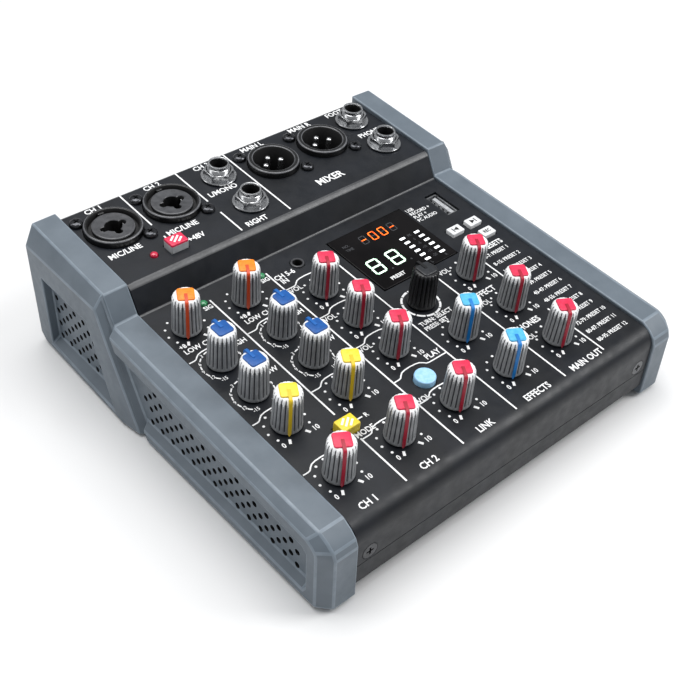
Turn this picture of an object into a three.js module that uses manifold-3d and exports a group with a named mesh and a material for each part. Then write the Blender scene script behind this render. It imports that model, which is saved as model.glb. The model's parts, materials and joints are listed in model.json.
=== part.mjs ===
// Compact desktop mixing console. Millimetres, +Z up, front towards -Y, standing on its feet at z = 0.
import * as THREE from "three";
import { ConvexGeometry } from "three/addons/geometries/ConvexGeometry.js";
import { mergeVertices } from "three/addons/utils/BufferGeometryUtils.js";
import Module from "manifold-3d";

const wasm = await Module();
wasm.setup();

// Chassis
const SLOPE = THREE.MathUtils.degToRad(3.5);
const SHEET = 1.5;
const GAP = 0.3;
const PANEL_HALF = 72.7;
const REAR_Y = 85;
const FRONT_Y = -84.7;
const UPPER = { y: 37.3, z: 49.3 };
const LOWER = { y: 32.2, z: 39.1 };
const FRONT_BEND = 7;
const FRONT_SEAM_Z = 14.7;
const REAR_SEAM_Z = 10.7;
const PAN_Z = 6.4;
const PAN_WALL_INNER = 71.1;
const FRONT_SCREW = { x: 67, z: 18.3, head: 3, shank: 1.5 };

// End cheeks
const CHEEK_INNER = 73;
const CHEEK_RIDGE = 82.8;
const CHEEK_OUTER = 86.8;
const CHEEK_FLARE = 88.2;
const CHEEK_END = 85.8;
const CHEEK_BOTTOM = 1.2;
const CHEEK_WALL = 2.2;
const POCKET_FLOOR = 83.2;

// Upper deck: x across, d back from the deck's front edge
const SOCKET_D = 30.2;
const COMBO_X = [-59.8, -34];
const OUTPUT_X = [15, 40.6];
const JACKS = [
  { name: "line_jack_left", x: -8.4, d: 35.3 },
  { name: "line_jack_right", x: -8.4, d: 14.7 },
  { name: "footswitch_jack", x: 61.8, d: 35.6 },
  { name: "headphone_jack", x: 61.8, d: 15.1 },
];
const SOCKET_BODY = { x: 21.9, y: 26, low: -23.9 };
const COMBO_RING = 11;
const XLR_RING = 10.5;
const RING_TOP = 2.6;
const SOCKET_SCREW = { x: 9.5, y: 10, head: 2.7 };
const PIN_CIRCLE = 3.81;
const PHONE_BORE = 3.27;
const JACK_THREAD = 4.5;
const JACK_TOP = 6.8;
const INPUT_BOARD = { low: -25.9, high: -24.3, front: 1.5, rear: 43.5 };

// Lower deck: x across, v forward from the foot of the riser
const COLUMNS = [-63, -37, -11, 15, 41];
const MAIN_ROW = 96.6;
const BOARD_HALF = 70.4;
const CONTROL_BOARD = { low: -13.1, high: -11.5, rear: 3, front: 106 };
const SHAFT = 3;
const SHAFT_HOLE = 3.5;
const POT_BORE = 3.35;
const POT = { x: 9.6, y: 11.5, top: -1.9 };
const KNOB = { base: 5.35, top: 4.75, low: 0.7, high: 15.6, flutes: 12, groove: 0.4 };
const CAP = { half: 2.9, top: 16.6 };
const REST_AT_MINIMUM = THREE.MathUtils.degToRad(150);
const KNOBS = [
  { name: "gain_knob_1", x: COLUMNS[0], v: 14.8, rest: REST_AT_MINIMUM },
  { name: "high_knob_1", x: COLUMNS[0], v: 35.6, rest: 0 },
  { name: "low_knob_1", x: COLUMNS[0], v: 53.1, rest: 0 },
  { name: "effect_knob_1", x: COLUMNS[0], v: 70.7, rest: REST_AT_MINIMUM },
  { name: "level_knob_1", x: COLUMNS[0], v: MAIN_ROW, rest: REST_AT_MINIMUM },
  { name: "gain_knob_2", x: COLUMNS[1], v: 14.8, rest: REST_AT_MINIMUM },
  { name: "high_knob_2", x: COLUMNS[1], v: 35.6, rest: 0 },
  { name: "low_knob_2", x: COLUMNS[1], v: 53.1, rest: 0 },
  { name: "effect_knob_2", x: COLUMNS[1], v: 70.7, rest: REST_AT_MINIMUM },
  { name: "level_knob_2", x: COLUMNS[1], v: MAIN_ROW, rest: REST_AT_MINIMUM },
  { name: "line_level_knob", x: COLUMNS[2], v: 27.5, rest: REST_AT_MINIMUM },
  { name: "aux_level_knob", x: COLUMNS[2], v: 46.6, rest: REST_AT_MINIMUM },
  { name: "player_level_knob", x: COLUMNS[2], v: 65.9, rest: REST_AT_MINIMUM },
  { name: "wireless_level_knob", x: COLUMNS[2], v: MAIN_ROW, rest: REST_AT_MINIMUM },
  { name: "effect_return_knob", x: COLUMNS[3], v: 74.4, rest: REST_AT_MINIMUM },
  { name: "effect_send_knob", x: COLUMNS[3], v: MAIN_ROW, rest: REST_AT_MINIMUM },
  { name: "monitor_level_knob", x: COLUMNS[4], v: 52.3, rest: REST_AT_MINIMUM },
  { name: "phones_level_knob", x: COLUMNS[4], v: 73.9, rest: REST_AT_MINIMUM },
  { name: "main_level_knob", x: COLUMNS[4], v: MAIN_ROW, rest: REST_AT_MINIMUM },
];
const ENCODER = { x: 14, v: 53.6, shaftTop: 12.5 };
const SMALL_KEYS = [
  { name: "previous_button", x: 54.5, v: 31, half: [3.2, 2.2], top: 1.4 },
  { name: "next_button", x: 64.2, v: 31.1, half: [3.2, 2.2], top: 1.4 },
  { name: "record_button", x: 64.3, v: 39, half: [3.2, 2.2], top: 1.4 },
];
const MODE_BUTTON = { name: "mode_button", x: -48.8, v: 84, half: [3.7, 2.8], top: 3.6 };
const PHANTOM_BUTTON = { name: "phantom_button", x: -46.6, d: 9.1, half: [3.7, 2.8], top: 3.6 };
const SOURCE_BUTTON = { name: "source_button", x: -12.4, v: 83, radius: 3.95, top: 2.2 };
const CAP_SKIRT = -3.2;
const STEM = { radius: 1.3, low: -8, bore: 1.7 };
const SWITCH = { half: 3.4, top: -6.4 };
const USB_SLOT = { x: 63.5, v: 14.3, half: [3.25, 7.25], shell: [2.85, 6.6], inner: [2.45, 6.2], low: -11.2 };
const AUX_JACK = { x: -8.9, v: 9.6, collar: 2.75, bore: 1.8, body: [3, 5.6] };
const DISPLAY = { x: 26.8, v: 24, half: [19.2, 16.8], moduleHalf: [18, 15.6], moduleTop: -2.2 };
const PHANTOM_LED = { x: -56, d: 9.4 };
const SIGNAL_LEDS = [
  { name: "signal_led_1", x: -50.6, v: 7.6 },
  { name: "signal_led_2", x: -24.6, v: 7.6 },
];
const LED = { radius: 1.45, collar: 1.95, hole: 1.75, top: 0.9 };

// Rear and underside
const INLET = { x: 46, z: 17.6, nose: 4.2, bore: 3.2, pin: 1 };
const FOOT = { x: 58, y: 66, radius: 6, top: 6.1 };

const CHEEK_GREY = finish(0x5b6570, 0.55, 0.1);
const PANEL_BLACK = finish(0x1d2024, 0.6, 0.2);
const BOARD_GREEN = finish(0x1d4a33, 0.6, 0.1);
const SOCKET_BLACK = finish(0x17191c, 0.45, 0.1);
const NICKEL = finish(0xc9cccf, 0.22, 1);
const KNOB_GREY = finish(0x85888c, 0.5, 0);
const ENCODER_BLACK = finish(0x0e0f11, 0.4, 0);
const KEY_WHITE = finish(0xd6d9dc, 0.5, 0);
const RUBBER = finish(0x101010, 0.95, 0);

function finish(color, roughness, metalness) {
  return { color, roughness, metalness };
}

// Solids

function solid(geometry) {
  const bare = geometry.clone();
  bare.deleteAttribute("normal");
  bare.deleteAttribute("uv");
  const merged = mergeVertices(bare, 1e-4);
  const index = merged.index.array;
  return new wasm.Manifold(
    new wasm.Mesh({
      numProp: 3,
      vertProperties: new Float32Array(merged.attributes.position.array),
      triVerts: new Uint32Array(index),
    }),
  );
}

function join(first, ...rest) {
  return rest.reduce((sum, next) => sum.add(next), first);
}

function cut(first, ...rest) {
  return rest.reduce((left, next) => left.subtract(next), first);
}

function toMesh(name, body, look) {
  const data = body.getMesh();
  const geometry = new THREE.BufferGeometry();
  geometry.setAttribute("position", new THREE.BufferAttribute(data.vertProperties, 3));
  geometry.setIndex(new THREE.BufferAttribute(data.triVerts, 1));
  geometry.computeVertexNormals();
  const mesh = new THREE.Mesh(geometry, new THREE.MeshStandardMaterial(look));
  mesh.name = name;
  return mesh;
}

function post(radius, low, high, sides = 16, topRadius = radius) {
  const geometry = new THREE.CylinderGeometry(topRadius, radius, high - low, sides);
  return geometry.rotateX(Math.PI / 2).translate(0, 0, (low + high) / 2);
}

function block(halfX, halfY, low, high) {
  return new THREE.BoxGeometry(2 * halfX, 2 * halfY, high - low).translate(0, 0, (low + high) / 2);
}

function box(lowCorner, highCorner) {
  const size = highCorner.map((value, i) => value - lowCorner[i]);
  const centre = highCorner.map((value, i) => (value + lowCorner[i]) / 2);
  return new THREE.BoxGeometry(...size).translate(...centre);
}

function hull(points) {
  return new ConvexGeometry(points.map((point) => new THREE.Vector3(...point)));
}

function at(geometry, x, y) {
  return solid(geometry.translate(x, y, 0));
}

// Carries a solid drawn in a deck's own frame (x across, y back, z off its face) to the object's frame.
function onDeck(geometry, deck, x, y) {
  const frame = new THREE.Matrix4().makeRotationX(SLOPE).setPosition(0, deck.y, deck.z);
  return solid(geometry.translate(x, y, 0).applyMatrix4(frame));
}

function extrudeAcross(outline, halfWidth) {
  const shape = new THREE.Shape(outline.map(([y, z]) => new THREE.Vector2(y, z)));
  const geometry = new THREE.ExtrudeGeometry(shape, { depth: 2 * halfWidth, bevelEnabled: false });
  const turn = new THREE.Matrix4().makeBasis(
    new THREE.Vector3(0, 1, 0),
    new THREE.Vector3(0, 0, 1),
    new THREE.Vector3(1, 0, 0),
  );
  return geometry.applyMatrix4(turn).translate(-halfWidth, 0, 0);
}

// Chassis

function lowerDeckZ(y) {
  return LOWER.z - (LOWER.y - y) * Math.tan(SLOPE);
}

function upperDeckZ(y) {
  return UPPER.z + (y - UPPER.y) * Math.tan(SLOPE);
}

// The outside of the folded top sheet, from the rear flange's foot over to the front flange's foot.
function skinPath(rearFoot, frontFoot) {
  const bendY = FRONT_Y + FRONT_BEND;
  const bendZ = lowerDeckZ(bendY) - FRONT_BEND / Math.cos(SLOPE);
  const bend = [];
  for (let step = 0; step <= 6; step++) {
    const angle = THREE.MathUtils.lerp(Math.PI / 2 + SLOPE, Math.PI, step / 6);
    bend.push([bendY + FRONT_BEND * Math.cos(angle), bendZ + FRONT_BEND * Math.sin(angle)]);
  }
  return [
    [REAR_Y, rearFoot],
    [REAR_Y, upperDeckZ(REAR_Y) - 1.2],
    [REAR_Y - 1.2, upperDeckZ(REAR_Y - 1.2)],
    [UPPER.y + 1, upperDeckZ(UPPER.y + 1)],
    [UPPER.y - 0.45, UPPER.z - 0.95],
    [LOWER.y, LOWER.z],
    ...bend,
    [FRONT_Y, frontFoot],
  ];
}

// The same path moved inwards by a distance, with mitred corners and its two ends kept level.
function inset(path, distance) {
  const points = path.map(([y, z]) => new THREE.Vector2(y, z));
  const normals = points.slice(1).map((point, i) => {
    const along = point.clone().sub(points[i]).normalize();
    return new THREE.Vector2(-along.y, along.x);
  });
  return points.map((point, i) => {
    const before = normals[Math.max(i - 1, 0)];
    const after = normals[Math.min(i, normals.length - 1)];
    const mitre = before.clone().add(after).normalize();
    const moved = point.clone().addScaledVector(mitre, distance / mitre.dot(after));
    return [moved.x, moved.y];
  });
}

function topPanel() {
  const outside = skinPath(REAR_SEAM_Z, FRONT_SEAM_Z);
  const inside = inset(outside, SHEET).reverse();
  const sheet = solid(extrudeAcross([...outside, ...inside], PANEL_HALF));
  const holes = [...upperDeckHoles(), ...lowerDeckHoles(), inletHole(), ...frontScrewHoles()];
  return toMesh("top_panel", cut(sheet, ...holes), PANEL_BLACK);
}

function upperDeckHoles() {
  const through = (radius, x, d, sides) => onDeck(post(radius, -4, 3, sides), UPPER, x, d);
  const rings = [
    ...COMBO_X.map((x) => through(COMBO_RING + GAP, x, SOCKET_D, 24)),
    ...OUTPUT_X.map((x) => through(XLR_RING + GAP, x, SOCKET_D, 24)),
  ];
  const screws = [...COMBO_X, ...OUTPUT_X].flatMap((x) =>
    [-1, 1].map((side) =>
      through(1.9, x + side * SOCKET_SCREW.x, SOCKET_D - side * SOCKET_SCREW.y, 8),
    ),
  );
  const jacks = JACKS.map(({ x, d }) => through(JACK_THREAD + GAP, x, d, 16));
  const led = through(LED.hole, PHANTOM_LED.x, PHANTOM_LED.d, 12);
  return [...rings, ...screws, ...jacks, led, keyHole(PHANTOM_BUTTON, UPPER, PHANTOM_BUTTON.d)];
}

function keyHole({ x, half }, deck, y) {
  return onDeck(block(half[0] + GAP, half[1] + GAP, -4, 3), deck, x, y);
}

function lowerDeckHoles() {
  const through = (radius, x, v, sides) => onDeck(post(radius, -4, 3, sides), LOWER, x, -v);
  const window = block(DISPLAY.half[0] + GAP, DISPLAY.half[1] + GAP, -4, 3);
  const slot = block(USB_SLOT.half[0], USB_SLOT.half[1], -4, 3);
  return [
    ...[...KNOBS, ENCODER].map(({ x, v }) => through(SHAFT_HOLE, x, v, 8)),
    ...SIGNAL_LEDS.map(({ x, v }) => through(LED.hole, x, v, 12)),
    ...[...SMALL_KEYS, MODE_BUTTON].map((key) => keyHole(key, LOWER, -key.v)),
    through(SOURCE_BUTTON.radius + GAP, SOURCE_BUTTON.x, SOURCE_BUTTON.v, 20),
    through(AUX_JACK.collar + GAP, AUX_JACK.x, AUX_JACK.v, 16),
    onDeck(slot, LOWER, USB_SLOT.x, -USB_SLOT.v),
    onDeck(window, LOWER, DISPLAY.x, -DISPLAY.v),
  ];
}

function inletHole() {
  const hole = post(INLET.nose + GAP, -3, 3, 20).rotateX(Math.PI / 2);
  return solid(hole.translate(INLET.x, REAR_Y, INLET.z));
}

function frontScrewHoles() {
  const { x, z, head, shank } = FRONT_SCREW;
  const sink = post(shank + GAP, -SHEET, 0, 16, head + GAP);
  const hole = solid(sink).add(solid(post(head + GAP, -0.01, 2)));
  return [-1, 1].map((side) => towardsFront(hole, side * x, z));
}

// Turns a solid drawn along +Z so that it faces the front, with its z = 0 at the front panel's face.
function towardsFront(body, x, z) {
  const mesh = toMesh("turned", body, SOCKET_BLACK);
  return solid(mesh.geometry.rotateX(Math.PI / 2).translate(x, FRONT_Y, z));
}

function frontScrews() {
  const { x, z, head, shank } = FRONT_SCREW;
  const body = join(
    solid(post(shank, -SHEET, 0, 16, head)),
    solid(post(shank, -6.5, -SHEET + 0.01, 16)),
  );
  const recess = solid(block(1.5, 0.35, -0.9, 1)).add(solid(block(0.35, 1.5, -0.9, 1)));
  const screw = body.subtract(recess);
  return [-1, 1].map((side) =>
    toMesh(
      side < 0 ? "front_screw_left" : "front_screw_right",
      towardsFront(screw, side * x, z),
      SOCKET_BLACK,
    ),
  );
}

function bottomPan() {
  const clear = inset(skinPath(REAR_SEAM_Z - GAP, FRONT_SEAM_Z - GAP), SHEET + GAP);
  const outline = [[FRONT_Y, PAN_Z], [REAR_Y, PAN_Z], [REAR_Y, REAR_SEAM_Z - GAP], ...clear];
  outline.push([FRONT_Y, FRONT_SEAM_Z - GAP]);
  const whole = solid(extrudeAcross(outline, PANEL_HALF - 0.2));
  const floor = PAN_Z + SHEET;
  const hollow = box(
    [-PAN_WALL_INNER, FRONT_Y + SHEET, floor],
    [PAN_WALL_INNER, REAR_Y - SHEET, UPPER.z + 20],
  );
  const tray = join(cut(whole, solid(hollow)), ...boardPosts(), ...screwTabs());
  return toMesh("bottom_pan", cut(tray, ...screwBores()), PANEL_BLACK);
}

// Eight posts: four under the control board, four under the input board.
function boardPosts() {
  const underControl = [-74, 22].flatMap((y) => {
    const top = lowerDeckZ(y) + CONTROL_BOARD.low - 0.9;
    return [-66, 66].map((x) => at(post(2.4, PAN_Z + 1, top, 8), x, y));
  });
  const underInput = [44, 78].flatMap((y) => {
    const top = upperDeckZ(y) + INPUT_BOARD.low - 0.9;
    return [-66, 66].map((x) => at(post(2.4, PAN_Z + 1, top, 8), x, y));
  });
  return [...underControl, ...underInput];
}

function screwTabs() {
  const back = FRONT_Y + SHEET + GAP;
  return [-1, 1].map((side) => {
    const x = side * FRONT_SCREW.x;
    return solid(box([x - 5, back, PAN_Z + 1], [x + 5, back + 2, FRONT_SCREW.z + 4]));
  });
}

function screwBores() {
  const bore = solid(post(FRONT_SCREW.shank + GAP, -9, 0, 16));
  return [-1, 1].map((side) => towardsFront(bore, side * FRONT_SCREW.x, FRONT_SCREW.z));
}

function feet() {
  const { x, y, radius, top } = FOOT;
  const foot = (name, sideX, sideY) => {
    const stud = post(radius - 0.7, 0, top, 20, radius);
    return toMesh(name, at(stud, sideX * x, sideY * y), RUBBER);
  };
  return [
    foot("foot_front_left", -1, -1),
    foot("foot_front_right", 1, -1),
    foot("foot_rear_left", -1, 1),
    foot("foot_rear_right", 1, 1),
  ];
}

// End cheeks

function riserY(z) {
  return 12.6 + (z - CHEEK_BOTTOM) * 0.508;
}

function rearCheekBlock() {
  const wide = CHEEK_OUTER;
  const top = 50.6;
  const ridgeDrop = 0.2;
  return solid(
    hull([
      ...[[CHEEK_INNER, 54.2], [CHEEK_RIDGE, 54.2 - ridgeDrop]].map(([x, z]) => [x, CHEEK_END, z]),
      [CHEEK_INNER, riserY(top), top],
      [CHEEK_RIDGE, riserY(top), top - ridgeDrop],
      [wide, CHEEK_END, 45.8],
      [wide, 40.1, 45.4],
      [CHEEK_OUTER - 0.4, riserY(45), 45],
      [wide, CHEEK_END, CHEEK_BOTTOM + 3],
      [wide, CHEEK_END - 3, CHEEK_BOTTOM],
      [CHEEK_INNER, CHEEK_END, CHEEK_BOTTOM],
      [CHEEK_INNER, riserY(CHEEK_BOTTOM), CHEEK_BOTTOM],
      [CHEEK_OUTER - 0.4, riserY(CHEEK_BOTTOM), CHEEK_BOTTOM],
      [CHEEK_FLARE, 25.4, CHEEK_BOTTOM],
    ]),
  );
}

function rearPocket() {
  const mouth = CHEEK_FLARE + 1;
  const corners = (x, sill) => [
    [x, 76.6, 35.8],
    [x, 76.6, sill],
    [x, 31 + (sill - 3.4) * 0.47, sill],
    [x, 45.2, 35.8],
  ];
  return solid(hull([...corners(mouth, 2.6), ...corners(POCKET_FLOOR, 6.4)]));
}

function frontCheekBlock() {
  const side = CHEEK_OUTER - 0.4;
  const rear = LOWER.y + 10;
  const rise = (y) => lowerDeckZ(y) + 1.2;
  const rearFace = [
    [CHEEK_INNER, rear, CHEEK_BOTTOM],
    [side, rear, CHEEK_BOTTOM],
    [CHEEK_INNER, rear, rise(rear)],
    [CHEEK_RIDGE, rear, rise(rear)],
    [side, rear, rise(rear) - 2.7],
  ];
  const nose = [[0, 0], [0.5, 2.1], [0.85, 4.6], [1, 7.6]].flatMap(([share, drop]) => {
    const y = THREE.MathUtils.lerp(-78.4, -CHEEK_END, share);
    const cornerY = THREE.MathUtils.lerp(-76.5, -81.2, share);
    return [
      [CHEEK_INNER, y, rise(-78.4) - drop],
      [CHEEK_RIDGE - 0.5 * share, y, rise(-78.4) - drop],
      [side, cornerY, rise(-78.4) - 2.5 - drop * 0.55],
    ];
  });
  const bottom = [
    [CHEEK_INNER, -CHEEK_END, CHEEK_BOTTOM + 1.2],
    [CHEEK_RIDGE - 0.5, -CHEEK_END, CHEEK_BOTTOM + 1.2],
    [side, -81.2, CHEEK_BOTTOM + 1.2],
    [CHEEK_INNER, -84.8, CHEEK_BOTTOM],
    [CHEEK_RIDGE - 0.9, -84.8, CHEEK_BOTTOM],
    [side - 0.8, -80.4, CHEEK_BOTTOM],
  ];
  return solid(hull([...rearFace, ...nose, ...bottom]));
}

function frontPocket() {
  const mouth = CHEEK_OUTER + 1;
  const corners = (x, sill) => [
    [x, 40, lowerDeckZ(40) - 6.6],
    [x, 40, sill],
    [x, -75.2, sill],
    [x, -76.6, sill + 2.4],
    [x, -76.6, lowerDeckZ(-76.6) - 8.2],
    [x, -74.6, lowerDeckZ(-76.6) - 6.3],
  ];
  return solid(hull([...corners(mouth, 3.9), ...corners(POCKET_FLOOR, 7.6)]));
}

function cheekHollow() {
  const low = CHEEK_BOTTOM + CHEEK_WALL;
  const deep = POCKET_FLOOR - CHEEK_WALL;
  const open = CHEEK_INNER - 2;
  const tall = [
    [82.8, low],
    [82.8, 49.5],
    [riserY(47.6) + 3.4, 47.6],
    [riserY(low) + 3.4, low],
  ];
  const flat = [
    [40, low],
    [40, lowerDeckZ(40) - 4.5],
    [-80, lowerDeckZ(-80) - 7.5],
    [-80, low],
  ];
  const prism = (outline) => outline.flatMap(([y, z]) => [open, deep].map((x) => [x, y, z]));
  return [tall, flat].map((outline) => solid(hull(prism(outline))));
}

function cheek(name, side) {
  const front = cut(frontCheekBlock(), frontPocket());
  const body = cut(join(rearCheekBlock(), front), rearPocket(), ...cheekHollow());
  const mesh = toMesh(name, body, CHEEK_GREY);
  mesh.scale.x = side;
  return mesh;
}

// Sockets, drawn in the deck's frame

function socketBase(ring) {
  const { x, y, low } = SOCKET_BODY;
  const under = -SHEET - GAP;
  const screws = [-1, 1].map((side) => {
    const [screwX, screwY] = [side * SOCKET_SCREW.x, -side * SOCKET_SCREW.y];
    const shank = at(post(1.5, under - 1, GAP + 0.1, 8), screwX, screwY);
    const head = post(SOCKET_SCREW.head, GAP, 1.9, 12, SOCKET_SCREW.head - 0.7);
    return shank.add(at(head, screwX, screwY));
  });
  const body = solid(block(x / 2, y / 2, low, under));
  return join(body, solid(post(ring, under - 1, RING_TOP, 24)), ...screws);
}

function comboSocket(name) {
  const groove = cut(solid(post(9.2, 0.4, RING_TOP + 1, 24)), solid(post(7.95, 0, RING_TOP + 2, 24)));
  const bore = solid(post(PHONE_BORE, -21, RING_TOP + 1, 16));
  const contacts = [180, 0, 270].map((degrees) => {
    const angle = THREE.MathUtils.degToRad(degrees);
    return at(post(1.45, -12, RING_TOP + 1, 8), PIN_CIRCLE * Math.cos(angle), PIN_CIRCLE * Math.sin(angle));
  });
  return toMesh(name, cut(socketBase(COMBO_RING), groove, bore, ...contacts), SOCKET_BLACK);
}

function outputSocket(name) {
  const well = solid(post(8.2, -9.6, RING_TOP + 1, 24));
  const pins = [0, 90, 180].map((degrees) => {
    const angle = THREE.MathUtils.degToRad(degrees);
    const pin = post(1.2, -10.5, 0.5, 8);
    const tip = post(1.2, 0.5, 1.1, 8, 0.6);
    const x = PIN_CIRCLE * Math.cos(angle);
    const y = PIN_CIRCLE * Math.sin(angle);
    return at(pin, x, y).add(at(tip, x, y));
  });
  return toMesh(name, join(cut(socketBase(XLR_RING), well), ...pins), SOCKET_BLACK);
}

function phoneJack(name) {
  const under = -SHEET - GAP;
  const body = solid(block(7.8, 8.6, SOCKET_BODY.low, under));
  const thread = solid(post(JACK_THREAD, under - 1, 5, 16));
  const nose = solid(post(3.95, 4, JACK_TOP, 16, 3.85));
  const bore = solid(post(PHONE_BORE, -20, JACK_TOP + 1, 16));
  return toMesh(name, cut(join(body, thread, nose), bore), NICKEL);
}

function jackNut(name) {
  const washer = solid(post(7.1, GAP, 1.1, 20));
  const nut = solid(post(6.3, 1, 3.9, 6).rotateZ(Math.PI / 6));
  const hole = solid(post(JACK_THREAD + GAP, -1, 6, 16));
  return toMesh(name, cut(join(washer, nut), hole), NICKEL);
}

function usbSocket() {
  const { shell, inner, low } = USB_SLOT;
  const shellBody = solid(block(...shell, low, -0.3));
  const well = solid(block(...inner, low + 1, 1));
  const tongue = at(block(0.9, 5.6, low + 0.5, -1.6), 1, 0);
  return toMesh("usb_socket", cut(shellBody, well).add(tongue), NICKEL);
}

function auxJack() {
  const under = -SHEET - GAP;
  const body = solid(block(...AUX_JACK.body, CONTROL_BOARD.high + GAP, under));
  const collar = solid(post(AUX_JACK.collar, under - 1, 0.6, 20, AUX_JACK.collar - 0.2));
  const bore = solid(post(AUX_JACK.bore, -10, 2, 14));
  return toMesh("aux_mini_jack", cut(join(body, collar), bore), SOCKET_BLACK);
}

function powerInlet() {
  const { nose, bore, pin } = INLET;
  const body = solid(block(4.6, 5.2, -16, -SHEET - GAP));
  const collar = solid(post(nose, -3, 0, 20));
  const well = solid(post(bore, -11, 1, 16));
  const contact = solid(post(pin, -12, -2, 10));
  const mesh = toMesh("power_inlet", cut(join(body, collar), well).add(contact), SOCKET_BLACK);
  mesh.rotation.x = -Math.PI / 2;
  mesh.position.set(INLET.x, REAR_Y, INLET.z);
  return mesh;
}

// Boards

function boreDown(x, y, radius, low) {
  return at(post(radius, low, 1, 12), x, y);
}

function controlBoard() {
  const { low, high, rear, front } = CONTROL_BOARD;
  const board = solid(box([-BOARD_HALF, -front, low], [BOARD_HALF, -rear, high]));
  const dials = [...KNOBS, ENCODER];
  const housings = dials.map(({ x, v }) => at(block(POT.x / 2, POT.y / 2, low + 0.5, POT.top), x, -v));
  const wells = dials.map(({ x, v }) => boreDown(x, -v, POT_BORE, high + 0.4));
  const keys = [...SMALL_KEYS, MODE_BUTTON, SOURCE_BUTTON];
  const switches = keys.map(({ x, v }) => at(block(SWITCH.half, SWITCH.half, low + 0.5, SWITCH.top), x, -v));
  const stems = keys.map(({ x, v }) => boreDown(x, -v, STEM.bore, high + 0.4));
  return toMesh("control_board", cut(join(board, ...housings, ...switches), ...wells, ...stems), BOARD_GREEN);
}

function inputBoard() {
  const { low, high, front, rear } = INPUT_BOARD;
  const board = solid(box([-BOARD_HALF, front, low], [BOARD_HALF, rear, high]));
  const { x, d } = PHANTOM_BUTTON;
  const housing = at(block(SWITCH.half, SWITCH.half, low + 0.5, SWITCH.top), x, d);
  return toMesh("input_board", cut(join(board, housing), boreDown(x, d, STEM.bore, -12)), BOARD_GREEN);
}

function displayModule() {
  const body = solid(block(...DISPLAY.moduleHalf, CONTROL_BOARD.high + GAP, DISPLAY.moduleTop));
  return toMesh("display_module", body, SOCKET_BLACK);
}

function displayWindow() {
  const plate = solid(block(...DISPLAY.half, -SHEET, 0.2));
  const edge = solid(block(DISPLAY.half[0] - 0.5, DISPLAY.half[1] - 0.5, 0, 0.4));
  return toMesh("display_window", join(plate, edge), finish(0x08090b, 0.12, 0));
}

function led(name, color, boardTop) {
  const lens = solid(post(LED.radius, -4.5, LED.top - 0.4, 12));
  const cap = solid(post(LED.radius, LED.top - 0.5, LED.top + 0.3, 12, 0.7));
  const collar = solid(post(LED.collar, -4.8, -SHEET - GAP, 12));
  const legs = [-0.7, 0.7].map((x) => at(block(0.25, 0.25, boardTop + GAP, -4), x, 0));
  return toMesh(name, join(lens, cap, collar, ...legs), finish(color, 0.25, 0));
}

// Moving pieces

function flutedBody() {
  const { base, top, low, high, flutes, groove } = KNOB;
  const outline = [];
  for (let i = 0; i < 2 * flutes; i++) {
    const radius = i % 2 ? base - groove : base;
    const angle = (i * Math.PI) / flutes;
    outline.push(new THREE.Vector2(radius * Math.cos(angle), radius * Math.sin(angle)));
  }
  const shape = new THREE.Shape(outline);
  const geometry = new THREE.ExtrudeGeometry(shape, { depth: high - low, bevelEnabled: false });
  const position = geometry.attributes.position;
  for (let i = 0; i < position.count; i++) {
    const share = position.getZ(i) / (high - low);
    const scale = THREE.MathUtils.lerp(1, top / base, share);
    position.setX(i, position.getX(i) * scale);
    position.setY(i, position.getY(i) * scale);
  }
  return geometry.translate(0, 0, low);
}

function knobBody() {
  const { base, top, high } = KNOB;
  const crown = post(top - 0.5, high - 0.1, high + 0.6, 12, top - 0.95);
  const cap = block(CAP.half, CAP.half, high, CAP.top);
  const topLine = box([-0.5, 0, high], [0.5, top - 0.4, CAP.top]);
  const sideLine = hull(
    [-0.5, 0.5].flatMap((x) => [
      [x, base - 1, KNOB.low + 0.4],
      [x, base + 0.25, KNOB.low + 0.4],
      [x, top - 1, CAP.top],
      [x, top - 0.2, CAP.top],
    ]),
  );
  return join(solid(flutedBody()), solid(crown), solid(cap), solid(topLine), solid(sideLine));
}

function knobs() {
  const shaft = solid(post(SHAFT, CONTROL_BOARD.high + 0.9, KNOB.low + 1, 12));
  const body = knobBody().add(shaft);
  return KNOBS.map(({ name, x, v, rest }) => {
    const mesh = toMesh(name, body, KNOB_GREY);
    mesh.position.set(x, -v, 0);
    mesh.rotation.z = rest;
    return mesh;
  });
}

function encoder() {
  const bottom = CONTROL_BOARD.high + 1.6;
  const plunger = toMesh("encoder_plunger", solid(post(SHAFT, bottom, ENCODER.shaftTop, 12)), NICKEL);
  const bore = solid(post(SHAFT + 0.35, -1, ENCODER.shaftTop + 0.5, 12));
  const turned = toMesh("encoder_knob", cut(knobBody(), bore), ENCODER_BLACK);
  [plunger, turned].forEach((mesh) => mesh.position.set(ENCODER.x, -ENCODER.v, 0));
  return [plunger, turned];
}

function pushButton({ name, x, half, radius, top }, y, look) {
  const cap = radius ? post(radius, CAP_SKIRT, top, 24) : block(...half, CAP_SKIRT, top);
  const stem = post(STEM.radius, STEM.low, CAP_SKIRT + 0.5, 8);
  const mesh = toMesh(name, solid(cap).add(solid(stem)), look);
  mesh.position.set(x, y, 0);
  return mesh;
}

// Assembly

function deckGroup(deck, meshes) {
  const group = new THREE.Group();
  group.position.set(0, deck.y, deck.z);
  group.rotation.x = SLOPE;
  group.add(...meshes);
  return group;
}

function place(mesh, x, y) {
  mesh.position.set(x, y, 0);
  return mesh;
}

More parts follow.
